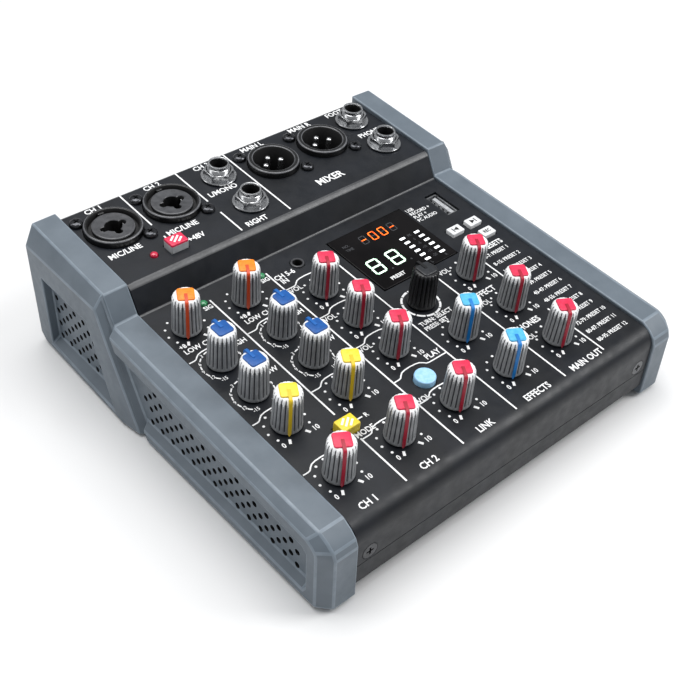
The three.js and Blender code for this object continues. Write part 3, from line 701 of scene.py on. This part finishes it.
def pan_screw(x, y):
    """A pan-head screw with a cross recess, seated on the panel."""
    cross, small = cross_reach(1.35, 0.3), cross_reach(1.0, 0.16)
    shank = [(1.5, UNDER_SHEET - 1), (1.5, 0.25)]
    dome = [(2.7, 0.25), (2.72, 0.75), (2.55, 1.25), (2.1, 1.65), (1.7, 1.82)]
    recess = [(cross, 1.84), (small, 0.95)]
    return moved(lathe(shank + dome + recess), x, y, turn=0.4)


def socket_screws():
    return merged([pan_screw(SCREW_X, -SCREW_Y), pan_screw(-SCREW_X, SCREW_Y)])


def socket_rings(*profile):
    return ring_stack(profile, SOCKET_SIDES)


def combo_parts():
    """A socket for two kinds of plug: collar, a sunken ring in near-black painted shade, and a disc with the
    joined plug holes.
    """
    hole = lobed_reach(3.27, 1.45, PLUG_ANGLES)
    wide_hole = lobed_reach(3.45, 1.62, PLUG_ANGLES)
    base = housing(*SOCKET_HALF, SOCKET_LOW, SOCKET_SIDES)
    groove_shade = [(9.35, 1.6), (9.2, 0.4), (8.0, 0.4), (7.95, 1.4)]
    disc = [(7.45, 2.05), (6.6, 1.95), (wide_hole, 2.02), (hole, 1.8)]
    # The lighter rings on the collar's edge and round the disc are painted highlights; the sunken ring and the
    # plug holes are painted shade.
    parts = bands(
        (SOCKET, base + socket_rings((11, UNDER_SHEET), (11, 1.8), (10.9, 2.2))),
        (SOCKET_RIM_HIGHLIGHT, socket_rings((10.7, 2.45), (10.4, 2.58))),
        (SOCKET, socket_rings((10.1, 2.6), (9.75, 2.5))),
        (WELL_SHADE, socket_rings(*groove_shade)),
        (SOCKET_RIM_HIGHLIGHT, socket_rings((7.9, 1.85), (7.7, 2.02))),
        (DISC, socket_rings(*disc)),
        (WELL_SHADE, socket_rings((hole, -12), (2.2, -12.1))),
    )
    tabs = around(soft_block(0.32, 0.8, 0.2, -11, 0.9, 0.2), 4.35, PLUG_ANGLES)
    latch = soft_block(1.3, 0.55, 0.3, 0.5, 2.35, 0.3)
    return parts + [(tabs, NICKEL), (moved(latch, 0, 8.6), SOCKET), (socket_screws(), STEEL)]


def output_parts():
    """A plug-type output: collar, deep well and three round-nosed pins."""
    base = housing(*SOCKET_HALF, SOCKET_LOW, SOCKET_SIDES)
    # The lighter rings on the collar's edge and the well's lip are painted highlights; the well is painted shade.
    parts = bands(
        (SOCKET, base + socket_rings((10.5, UNDER_SHEET), (10.5, 1.8), (10.4, 2.2))),
        (SOCKET_RIM_HIGHLIGHT, socket_rings((10.2, 2.45), (9.85, 2.58))),
        (SOCKET, socket_rings((9.5, 2.6), (8.75, 2.6))),
        (SOCKET_RIM_HIGHLIGHT, socket_rings((8.45, 2.45))),
        (WELL_SHADE, socket_rings((8.2, 2.1), (8.2, -9.4), (7.9, -9.6))),
    )
    pin = [(1.2, -9.8), (1.2, 0.35), (1.1, 0.7), (0.85, 0.95), (0.45, 1.08), (0.1, 1.1)]
    pins = around(lathe(pin, 24), PIN_CIRCLE, (0, 90, 180))
    key = moved(soft_block(1.1, 0.5, 0.2, -9.5, 2.1, 0.3), -7.9, 0, turn=pi / 2)
    return parts + [(pins, NICKEL), (key, SOCKET), (socket_screws(), STEEL)]


def large_sockets():
    for name, x in (COMBO_COLUMNS | OUTPUT_COLUMNS).items():
        parts = combo_parts() if name in COMBO_COLUMNS else output_parts()
        place = on_deck(UPPER, x, SOCKET_ROW)
        piece(name + "_detail", parts, place, replaces=[name])


def jack_parts():
    """A phone jack: plastic body, threaded bushing and a nose with a rolled lip round the bore."""
    bushing = [(4.5, UNDER_SHEET)]
    for turn in range(9):
        height = UNDER_SHEET + 0.2 + turn * 0.72
        bushing += [(4.2, height), (4.5, height + 0.36)]
    nose = [(4.2, 4.95), (3.98, 5.1), (3.95, 6.1), (4.1, 6.3), (4.16, 6.55), (4.05, 6.76), (3.85, 6.8)]
    nose += [(3.55, 6.72), (3.35, 6.45), (3.27, 6.1)]
    # The bore is lined in near-black painted shade.
    return bands(
        (SOCKET, housing(7.8, 8.6, SOCKET_LOW)),
        (NICKEL, ring_stack(bushing + nose)),
        (WELL_SHADE, ring_stack([(3.27, 2.0), (3.27, -19.8), (3.0, -20)])),
    )


def nut_parts():
    """A washer and a chamfered hexagon nut."""
    washer = [(4.85, 0.3), (6.95, 0.3), (7.1, 0.5), (7.1, 0.9), (6.95, 1.08), (4.85, 1.08)]
    foot, full, shoulder, top = (nut_reach(most) for most in (5.75, NUT_CORNER, 5.8, 5.2))
    nut = [(4.85, 1.1), (foot, 1.1), (full, 1.45), (full, 3.4), (shoulder, 3.8), (top, 3.9)]
    nut += [(5.0, 3.88), (4.85, 3.7)]
    return [(lathe(washer, closed=True), NICKEL), (lathe(nut, closed=True), NICKEL)]


def jacks():
    for name, (x, y) in (LINE_JACKS | RIGHT_JACKS).items():
        place = on_deck(UPPER, x, y)
        piece(name + "_detail", jack_parts(), place, replaces=[name])
        piece(name + "_nut_detail", nut_parts(), place, replaces=[name + "_nut"], smooth=24)


def usb_socket():
    """The metal shell, its tongue with four contacts, and the lips of the springs."""
    outer, inner = box_reach(2.85, 6.6), box_reach(2.45, 6.2)
    shell = loft(socket_rings((outer, -11), (outer, -0.7), (inner, -0.7), (inner, -10.6)))
    tongue = moved(soft_block(0.9, 5.6, 0.15, -10.8, -1.4, 0.15), 1, 0)
    contact = soft_block(0.08, 0.5, 0.05, -9, -1.7, 0.05)
    contacts = [moved(contact, 0.06, y) for y in (-3.75, -1.25, 1.25, 3.75)]
    springs = [moved(soft_block(0.25, 1.6, 0.15, -8, -1.6, 0.2), -2.1, y) for y in (-3.2, 3.2)]
    parts = [(shell, NICKEL), (tongue, KEY_GREY), (merged(contacts), NICKEL), (merged(springs), NICKEL)]
    piece("usb_socket_detail", parts, on_deck(LOWER, *USB_PLACE), replaces=["usb_socket"])


def aux_jack():
    # The bore is lined in near-black painted shade.
    parts = bands(
        (SOCKET, housing(3, 5.6, -11.2) + [ring(2.75, UNDER_SHEET)]),
        (DISC, ring_stack([(2.75, 0.25), (2.65, 0.5), (2.45, 0.6), (2.1, 0.58), (1.85, 0.35)])),
        (WELL_SHADE, ring_stack([(1.8, 0.1), (1.8, -9.8), (1.5, -10)])),
    )
    place = on_deck(LOWER, *AUX_PLACE)
    piece("aux_mini_jack_detail", parts, place, replaces=["aux_mini_jack"])


def power_inlet():
    """The low-voltage inlet at the rear, drawn along its axis."""
    low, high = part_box("power_inlet")
    middle = (low + high) / 2
    face = MOUNTS["power_inlet_face"]["pos_m"][2] - INLET_RIM_RADIUS * MM
    place = Matrix.Translation((middle.x, high.y, face))
    place = place @ Matrix.Rotation(-pi / 2, 4, "X") @ Matrix.Scale(MM, 4)
    collar = [(4.2, UNDER_SHEET), (4.2, -0.3), (4.0, -0.05), (3.8, 0), (3.4, -0.05), (3.2, -0.4)]
    # The inlet's well is lined in near-black painted shade.
    parts = bands(
        (SOCKET, housing(4.6, 5.2, -16) + ring_stack(collar)),
        (WELL_SHADE, ring_stack([(3.2, -10.8), (2.9, -11)])),
    )
    parts.append((lathe([(1, -11), (1, -2.4), (0.8, -2.1), (0.4, -2)], 24), NICKEL))
    piece("power_inlet_detail", parts, place, replaces=["power_inlet"])


def lamps():
    """The domed lamps, each with its collar and legs under the panel."""
    dome = [(1.95, -4.8), (1.95, UNDER_SHEET), (LAMP_RADIUS, UNDER_SHEET + 0.05), (LAMP_RADIUS, 0.45)]
    dome += [(LAMP_RADIUS * cos(a), 0.45 + 0.75 * sin(a)) for a in (0.4, 0.8, 1.15, 1.4)]
    for name, deck, x, y, lens, slot, leg in (
        ("phantom_led", UPPER, -56, 9.4, RED_LENS, "red_lens", -24),
        ("signal_led_1", LOWER, -50.6, -7.6, GREEN_LENS, "green_lens", -11.2),
        ("signal_led_2", LOWER, -24.6, -7.6, GREEN_LENS, "green_lens", -11.2),
    ):
        legs = [moved(soft_block(0.25, 0.25, 0.08, leg, -4.7, 0.05), side, 0) for side in (-0.7, 0.7)]
        parts = [(lathe(dome, 32), lens), (merged(legs), NICKEL)]
        piece(name + "_lens", parts, on_deck(deck, x, y), replaces=[name])


# Display

WINDOW_PLACE = (26.8, -24.0)
WINDOW_HALF = (19.2, 16.8)
WINDOW_TOP = 0.4
METER_X = (33.75, 41.5)
DIM_LABEL = 1.3
SEGMENTS = {"0": "abcdef", "8": "abcdefg", "-": "g"}


def segment_shapes(width, height, thick):
    """The seven cells of a digit, centred on the origin, as outlines by letter."""
    half_w, half_h = width / 2, height / 2

    def bar(x, y, length, upright):
        end = length / 2
        shape = [(-end, 0), (-end + thick / 2, thick / 2), (end - thick / 2, thick / 2)]
        shape += [(end, 0), (end - thick / 2, -thick / 2), (-end + thick / 2, -thick / 2)]
        return [(x - dy, y + dx) if upright else (x + dx, y + dy) for dx, dy in shape]

    gap = thick * 0.12
    side, top = half_w - thick / 2, half_h - thick / 2
    flat, tall, rise = width - thick - gap, top - gap, top / 2
    shapes = {letter: bar(0, y, flat, False) for letter, y in (("a", top), ("g", 0), ("d", -top))}
    for letter, x, y in (("f", -side, rise), ("b", side, rise), ("e", -side, -rise), ("c", side, -rise)):
        shapes[letter] = bar(x, y, tall, True)
    return shapes


def digit(sign, x, y, width, height, thick, lean=0.06):
    """The lit and the unlit cells of one digit."""
    lit, unlit = [], []
    for letter, outline in segment_shapes(width, height, thick).items():
        leaning = [(x + px + lean * py, y + py) for px, py in outline]
        cell = slab(leaning, WINDOW_TOP - 0.02, WINDOW_TOP + 0.03)
        (lit if letter in SEGMENTS[sign] else unlit).append(cell)
    return lit, unlit


def display():
    window = soft_block(*WINDOW_HALF, 0.8, -1.5, WINDOW_TOP, 0.3)
    place = on_deck(LOWER, *WINDOW_PLACE)
    piece("display_window_glass", [(window, WINDOW)], place, replaces=["display_window"])
    warm, cool, dim = [], [], []
    for i, sign in enumerate("-00-"):
        lit, unlit = digit(sign, 20.8 + 4.9 * i, -14.1, 3.0, 5.0, 0.44)
        warm += lit
        dim += unlit
    for x in (14.1, 23.8):
        cool += digit("8", x, -28.8, 5.6, 8.4, 0.8)[0]
        dim.append(moved(lathe([(0.42, 0), (0.42, 0.04)], 16), x + 4.6, -33.2, WINDOW_TOP - 0.01))
    bars, marks = [], []
    bar = slab(rounded(1.25, 0.55, 0.1, 1), -0.02, 0.03)
    left, right = METER_X
    for i, mark in enumerate(("PK", "0", "-5", "-10", "-15", "-20")):
        y = -22.3 - 2.9 * i
        bars += [moved(bar, x, y, WINDOW_TOP) for x in METER_X]
        marks.append(lettering(mark, DIM_LABEL, 37.6, y, h=WINDOW_TOP))
    names = (("L", left, -39.2), ("R", right, -39.2), ("NO.", 12.2, -13.2), ("TIME", 12.4, -15.6))
    for text, x, y in names:
        marks.append(lettering(text, DIM_LABEL, x, y, h=WINDOW_TOP))
    title = lettering("PRESET", 1.7, 17.4, -37.6, h=WINDOW_TOP)
    parts = [(merged(warm), WARM_DIGIT), (merged(cool), COOL_DIGIT), (merged(dim + marks), DIM_INK)]
    piece("display_cells", parts + [(merged(bars), BAR_LIGHT), (title, INK)], LOWER)


# Print on the panels

LINE_WIDTH, HOOK_WIDTH = 0.62, 0.5
HOOK_SIDE = [(7.2, 0), (6.2, 0.25), (5.3, 1.1), (4.2, 1.9), (2.6, 2.3)]
DIAL_RADIUS, DOT_RADIUS = 7.5, 0.48
DIAL_END, DIAL_STEP = 150, 30
TITLE, SUBTITLE, LABEL = 2.6, 2.35, 2.2
LIST_LABEL, LIST_WEIGHT = 1.75, 0.015


def polar(x, y, radius, degrees):
    """A point on a circle, at an angle clockwise from the back."""
    return x + radius * sin(radians(degrees)), y + radius * cos(radians(degrees))


def arc(x, y, radius, start, end, steps):
    return [polar(x, y, radius, start + (end - start) * i / steps) for i in range(steps + 1)]


def dot(x, y):
    return moved(lathe([(DOT_RADIUS, PRINT_LOW), (DOT_RADIUS, PRINT_HIGH)], 14), x, y)


def dial_ends(x, y, low_mark, high_mark):
    """The ticks at both ends of a dial and what they're marked with."""
    drawn = []
    for angle, mark, aside in ((-DIAL_END, low_mark, -2.1), (DIAL_END, high_mark, 2.7)):
        inner, outer = (polar(x, y, DIAL_RADIUS + off, angle) for off in (-1.0, 0.9))
        drawn.append(stroke([inner, outer], 0.95))
        drawn.append(lettering(mark, 1.95, outer[0] + aside, outer[1] + 0.6))
    return drawn


def level_dial(x, y, low_mark="0", high_mark="10"):
    angles = range(DIAL_STEP - DIAL_END, DIAL_END, DIAL_STEP)
    dots = [dot(*polar(x, y, DIAL_RADIUS, angle)) for angle in angles]
    return dots + dial_ends(x, y, low_mark, high_mark)


def tone_dial(x, y):
    """Dashes between numbers, counted from the middle both ways."""
    angles = range(-DIAL_END, DIAL_END, DIAL_STEP)
    drawn = [stroke(arc(x, y, DIAL_RADIUS, angle + 9, angle + 22, 3), HOOK_WIDTH) for angle in angles]
    for i in range(-5, 6):
        spot = polar(x, y, DIAL_RADIUS + 0.1, DIAL_STEP * i)
        mark = str(abs(3 * i)) if abs(i) < 5 else str(3 * i)
        drawn.append(lettering(mark, 1.5, *spot, weight=LIST_WEIGHT))
    return drawn


def hook(x, y, left, right=None):
    """The line from the column's left edge that bends over a control at x, and on to right if there's one."""
    rise = [(-dx, dy) for dx, dy in HOOK_SIDE]
    fall = HOOK_SIDE[:2:-1] if right is None else HOOK_SIDE[::-1]
    path = [(left, y)] + [(x + dx, y + dy) for dx, dy in rise + [(0, 2.45)] + fall]
    if right is not None:
        path.append((right, y))
    return stroke(path, HOOK_WIDTH)


def knob_spot(name):
    spot = LOWER.inverted() @ Vector(JOINT_OF[name]["pos_m"])
    return round(spot.x, 2), round(spot.y, 2)


def dials():
    drawn = []
    for name in KNOB_NAMES:
        kind = knob_kind(name)
        if kind in ("high_knob", "low_knob"):
            drawn += tone_dial(*knob_spot(name))
        elif kind == "gain_knob":
            drawn += level_dial(*knob_spot(name), "+8", "60")
        elif kind != "encoder_knob":
            drawn += level_dial(*knob_spot(name))
    encoder = knob_spot("encoder_knob")
    drawn += [stroke(arc(*encoder, 7.2, angle, angle + 26, 4), 0.85) for angle in range(0, 360, DIAL_STEP)]
    return drawn


def hooks():
    drawn = []
    for channel, left in ((1, -72.2), (2, -47.7)):
        for name in ("high", "effect", "level"):
            x, y = knob_spot(f"{name}_knob_{channel}")
            drawn.append(hook(x, y + 6.2, left))
    for name in ("line_level_knob", "aux_level_knob", "player_level_knob", "wireless_level_knob"):
        x, y = knob_spot(name)
        drawn.append(hook(x, y + (8.4 if y > -90 else 6.2), -22.2))
    drawn.append(hook(SOURCE_PLACE[0], SOURCE_PLACE[1] + 5.1, -22.2, 3.3))
    return drawn


def separators():
    lower = [
        (-47.7, -7.2, -76.9), (-47.7, -89.8, -111.7), (-22.2, -7.3, -111.7), (3.3, -19.3, -111.8),
        (28.9, -46.5, -111.5), (50.5, -44, -73), (50.5, -84, -111),
    ]
    return [stroke([(x, start), (x, end)], LINE_WIDTH) for x, start, end in lower]


def lower_labels():
    drawn = []
    for x, text in zip(COLUMNS, ("CH 1", "CH 2", "LINK", "EFFECTS", "MAIN OUT")):
        drawn.append(lettering(text, TITLE, x + 0.2, -110.6))
    for column, low_x in ((-50.4, -64.3), (-24.7, -38.3)):
        drawn.append(lettering("SIG", 2.0, column, -10.2))
        drawn.append(lettering("LOW CUT", LABEL, low_x + 0.4, -24.4))
        drawn.append(lettering("HIGH", LABEL, column - 2.4, -31))
        drawn.append(lettering("LOW", LABEL, column - 2.2, -48.4))
    for text, size, x, y in (
        ("CH 5-6", SUBTITLE, -17, -12.1), ("IN", SUBTITLE, -19, -14.9), ("PLAY", SUBTITLE, -1.4, -75.6),
        ("R", 1.8, -39.3, -83), ("MODE", LABEL, -44.4, -88.3), ("PRESETS", 2.4, 60.6, -45.4),
        ("EFFECT", TITLE, 37.6, -63.6), ("PHONES", TITLE, 37.8, -85.4),
    ):
        drawn.append(lettering(text, size, x, y))
    drawn.append(stroke([(-44.6, -82.9), (-40.9, -82.9)], HOOK_WIDTH))
    volumes = [(-18.6, -20.8), (-18.6, -40.2), (-18.6, -59.4), (-18.9, -89.4)]
    volumes += [(33.4, -46.2), (33.4, -68), (33.4, -90.8)]
    drawn += [lettering("VOL", LABEL, x, y) for x, y in volumes]
    for y, text in ((-62.5, "TURN: SELECT"), (-65.3, "PRESS: SET")):
        drawn.append(lettering(text, 1.9, 5.2, y, "LEFT"))
    for i, text in enumerate(("USB", "RECORD +", "PLAY +", "PC AUDIO")):
        drawn.append(lettering(text, 1.7, 47.2, -10.2 - 2.4 * i, "LEFT", LIST_WEIGHT))
    for i in range(12):
        text = f"{8 * i}-{8 * i + 7}: PRESET {i + 1}"
        drawn.append(lettering(text, LIST_LABEL, 52.6, -49.4 - 5.2 * i, "LEFT", LIST_WEIGHT))
    return drawn


def upper_print():
    lines = [
        (-46.9, 47.7, 24.5), (-46.9, 16.6, 15.0), (-21.4, 47.7, 24.5), (-21.4, 16.4, 2.7), (1.7, 47.9, 2.6),
    ]
    drawn = [stroke([(x, start), (x, end)], LINE_WIDTH) for x, start, end in lines]
    for text, x, y in (
        ("CH 1", -59.6, 44.4), ("CH 2", -33.6, 44.4), ("CH 3-4", -9.0, 44.3), ("MAIN L", 14.6, 44.1),
        ("MAIN R", 39.8, 44.3), ("FOOT SW", 62.2, 44.3), ("PHONES", 63.0, 24.7), ("L/MONO", -12.4, 27.0),
        ("RIGHT", -13.3, 4.2), ("MIC/LINE", -63.2, 16.9), ("MIC/LINE", -38.6, 16.6), ("+48V", -37.5, 9.4),
        ("MIXER", 27.5, 9.4),
    ):
        drawn.append(lettering(text, 3.6 if text == "MIXER" else TITLE, x, y))
    return drawn


def print_on_panels():
    piece("lower_deck_print", [(merged(separators() + dials() + hooks() + lower_labels()), INK)], LOWER)
    piece("upper_deck_print", [(merged(upper_print()), INK)], UPPER)


# Chassis and cheeks

VENT_RADIUS, VENT_RELIEF = 1.2, 1.6
VENT_PITCH, VENT_ROWS, LOWEST_VENT, REAR_DROP = 6.25, 7, 8.9, 1.2
VENT_FACE, VENT_SKIN, VENT_BACK = 84.4, 82.35, 79.5
DECK_HEIGHT, DECK_SLOPE, POCKET_DEPTH = 36.9, 0.061, 12.8
RISER_FOOT, RISER_LEAN = 12.6, 0.508
DECKS_LOW, FOLD_LOW, LONG_EDGE = 35, 46.5, 100
SLIVER, CUT_SLIVER, SPLIT_POINT = 4e-4, 3e-4, 2e-6  # metres


def in_front_pocket(y, z):
    """Whether a vent keeps off the front pocket's front end, slanted rear and upper edge."""
    deck = DECK_HEIGHT + (y + 4) * DECK_SLOPE
    return -72 <= y <= 9.6 + (z - 1.2) * 0.5 and z <= deck - POCKET_DEPTH


def vent_spots():
    """The vents' places (y, z) in both pockets, in rows half a pitch apart."""
    half = VENT_PITCH / 2
    spots = []
    for row in range(VENT_ROWS):
        z = LOWEST_VENT + half * row
        front = [12.3 - VENT_PITCH * i - half * row for i in range(-2, 16)]
        spots += [(y, z) for y in front if in_front_pocket(y, z)]
        rear = [74.4 - VENT_PITCH * i - half * (row % 2) for i in range(8)]
        spots += [(y, z - REAR_DROP) for y in rear if y >= 36 + (z - 3.4) * 0.44]
    return spots


def vent_cutters(side):
    """Round drills through the pocket floors, wider behind their thin outer skin."""
    across = Matrix.Rotation(pi / 2, 4, "Y")
    profile = [(VENT_RELIEF, VENT_BACK), (VENT_RELIEF, VENT_SKIN)]
    profile += [(VENT_RADIUS, VENT_SKIN), (VENT_RADIUS, VENT_FACE)]
    points, faces = lathe(profile, 16)
    along = [across @ Vector(point) for point in points]
    drills = [([(side * p.x, y + p.y, z + p.z) for p in along], faces) for y, z in vent_spots()]
    return merged(drills)


def corner_wedge(side):
    """The slanted cut that joins the rear block's side to the floor of the front pocket."""
    plan = [(-0.05, 83.2), (-0.05, 89), (5.2, 89), (0.9, 83.2)]
    rings = [[(side * x, RISER_FOOT + (z - 1.2) * RISER_LEAN + u, z) for u, x in plan] for z in (0, 60)]
    return loft(rings)


def softened(name, finish, highlight_finish, offset, least=0, lowest=0, cut=None):
    """The CAD node, cut, with its edges longer than least and above lowest rounded and given a lighter finish as a
    painted highlight.
    """
    mesh = NODES[name].data.copy()
    refinish(mesh, finish, highlight_finish, WELL_SHADE)
    soft = linked(name + "_moulded", mesh)
    join_faces(mesh, SLIVER if cut else SPLIT_POINT)
    if cut:
        drill_with(soft, cut, 0)
        join_faces(soft.data, CUT_SLIVER)
    with opened(soft.data) as made:
        sharp = [e for e in made.edges if e.is_manifold and e.calc_face_angle() > radians(16)]
        long = [e for e in sharp if e.calc_length() > least * MM]
        chosen = [e for e in long if min(v.co.z for v in e.verts) >= lowest * MM]
        shape = {"segments": 3, "profile": 0.5, "affect": "EDGES", "clamp_overlap": False}
        bmesh.ops.bevel(made, geom=chosen, offset=offset * MM, material=1, **shape)
    return soft


def join_faces(mesh, distance):
    with opened(mesh) as made:
        bmesh.ops.remove_doubles(made, verts=made.verts, dist=distance)
        bmesh.ops.dissolve_limit(made, angle_limit=radians(1), verts=made.verts, edges=made.edges)


def drill_with(target, solid, index):
    """Takes a solid away from an object; index is the finish of the cut faces."""
    cutter = bpy.data.meshes.new("cutter")
    cutter.from_pydata([ROW @ Vector(point) for point in solid[0]], [], solid[1])
    for material in target.data.materials:
        cutter.materials.append(material)
    cutter.polygons.foreach_set("material_index", [index] * len(cutter.polygons))
    tidy_mesh(cutter, 30)
    drill = linked("cutter", cutter)
    drilled = target.modifiers.new("cut", "BOOLEAN")
    drilled.object = drill
    drilled.operation = "DIFFERENCE"
    drilled.solver = "EXACT"
    graph = bpy.context.evaluated_depsgraph_get()
    target.data = bpy.data.meshes.new_from_object(target.evaluated_get(graph))
    target.modifiers.clear()
    bpy.data.objects.remove(drill)


def finish_soft(soft, name, degrees):
    """Shades a softened piece so that its flats stay flat, and puts it in its node's place."""
    soft.data.polygons.foreach_set("use_smooth", [True] * len(soft.data.polygons))
    soft.data.set_sharp_from_angle(angle=radians(degrees))
    weigh_normals(soft)
    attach(soft, "chassis")
    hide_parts(name)


def cheeks():
    for name, side in (("left_cheek", -1), ("right_cheek", 1)):
        # The cheeks' rounded edges take the lighter finish, a painted highlight.
        cheek = softened(name, CHEEK, CHEEK_EDGE_HIGHLIGHT, 0.6, cut=corner_wedge(side))
        # The vents' cut walls take finish 2, near-black painted shade.
        drill_with(cheek, vent_cutters(side), 2)
        finish_soft(cheek, name, 60)


def panel():
    """The folded sheet, with a lighter finish painting a highlight on its long edges and on the bends above the
    knob deck.
    """
    sheet = softened("top_panel", PANEL, PANEL_FOLD_HIGHLIGHT, 0.5, LONG_EDGE, DECKS_LOW)
    # Faces on the upper fold take the lighter finish, a painted highlight.
    for face in sheet.data.polygons:
        if face.center.z > FOLD_LOW * MM and -0.85 < face.normal.y < -0.12:
            face.material_index = 1
    finish_soft(sheet, "top_panel", 35)


def feet():
    """Rubber feet with a rounded edge and a recess for their rivet."""
    profile = [(1.6, 2.2), (1.6, 0.25), (1.9, 0), (4.7, 0), (5.2, 0.2), (5.45, 0.7), (5.95, 5.8), (5.9, 6.1)]
    for end in ("front", "rear"):
        for side in ("left", "right"):
            name = f"foot_{end}_{side}"
            low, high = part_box(name)
            place = on_deck(ROW, (low.x + high.x) / 2 / MM, (low.y + high.y) / 2 / MM)
            parts = [(lathe(profile, 48), RUBBER)]
            piece(name + "_rubber", parts, place, replaces=[name])


def kept_nodes():
    for name, material in {
        "bottom_pan": PANEL,
        "front_screw_left": STEEL,
        "front_screw_right": STEEL,
        "input_board": BOARD,
        "control_board": BOARD,
        "display_module": SOCKET,
        "encoder_plunger": NICKEL,
    }.items():
        repaint(name, material)


# Floor, lights and camera


FLOOR_HALF = 6.0
AIM = Vector((0, 0, 0.03))
VIEW_AZIMUTH, VIEW_ELEVATION, VIEW_ROLL = radians(-43.25), radians(41.56), radians(3.08)
VIEW_PLACE = (-0.22077, -0.23418, 0.29082)
VIEW_LENS = 56.62


def stage_floor():
    corners = [(-FLOOR_HALF, -FLOOR_HALF, 0), (FLOOR_HALF, -FLOOR_HALF, 0)]
    corners += [(FLOOR_HALF, FLOOR_HALF, 0), (-FLOOR_HALF, FLOOR_HALF, 0)]
    mesh = bpy.data.meshes.new("floor")
    mesh.from_pydata(corners, [], [(0, 1, 2, 3)])
    mesh.materials.append(surface("floor_paper", "dfdfdf", "e6e6e6", (0.75, 0.85), 400, (3, 0.02)))
    floor = linked("floor", mesh)


def area_light(name, place, size, power):
    data = bpy.data.lights.new(name, "AREA")
    data.shape = "RECTANGLE"
    data.size, data.size_y = size
    data.energy = power
    light = linked(name, data)
    light.location = place
    light.rotation_euler = (AIM - Vector(place)).to_track_quat("-Z", "Y").to_euler()


def lights():
    world = bpy.data.worlds.new("studio")
    world.use_nodes = True
    background = world.node_tree.nodes["Background"].inputs
    background["Color"].default_value = (0.95, 0.97, 1, 1)
    background["Strength"].default_value = 0.36
    bpy.context.scene.world = world
    area_light("overhead", (-0.05, 0.2, 1.0), (0.9, 0.8), 10.2)
    area_light("front_right", (0.52, -0.42, 0.68), (0.35, 0.6), 5.0)
    area_light("back_left", (-0.7, 0.5, 0.5), (0.3, 0.5), 0.8)


def camera():
    """At the photograph's viewing angle: azimuth and elevation of the way back to it, and a small roll."""
    data = bpy.data.cameras.new("camera")
    data.lens = VIEW_LENS
    data.sensor_width = 36
    data.clip_start, data.clip_end = 0.01, 20
    eye = linked("camera", data)
    tilt = Matrix.Rotation(pi / 2 - VIEW_ELEVATION, 4, "X")
    turn = Matrix.Rotation(VIEW_AZIMUTH, 4, "Z") @ tilt @ Matrix.Rotation(VIEW_ROLL, 4, "Z")
    eye.matrix_world = Matrix.Translation(VIEW_PLACE) @ turn
    bpy.context.scene.camera = eye


kept_nodes()
cheeks()
panel()
feet()
large_sockets()
jacks()
usb_socket()
aux_jack()
power_inlet()
lamps()
display()
knobs()
small_keys()
latching_keys()
source_key()
print_on_panels()
stage_floor()
lights()
camera()
bpy.context.scene.view_settings.view_transform = "Standard"
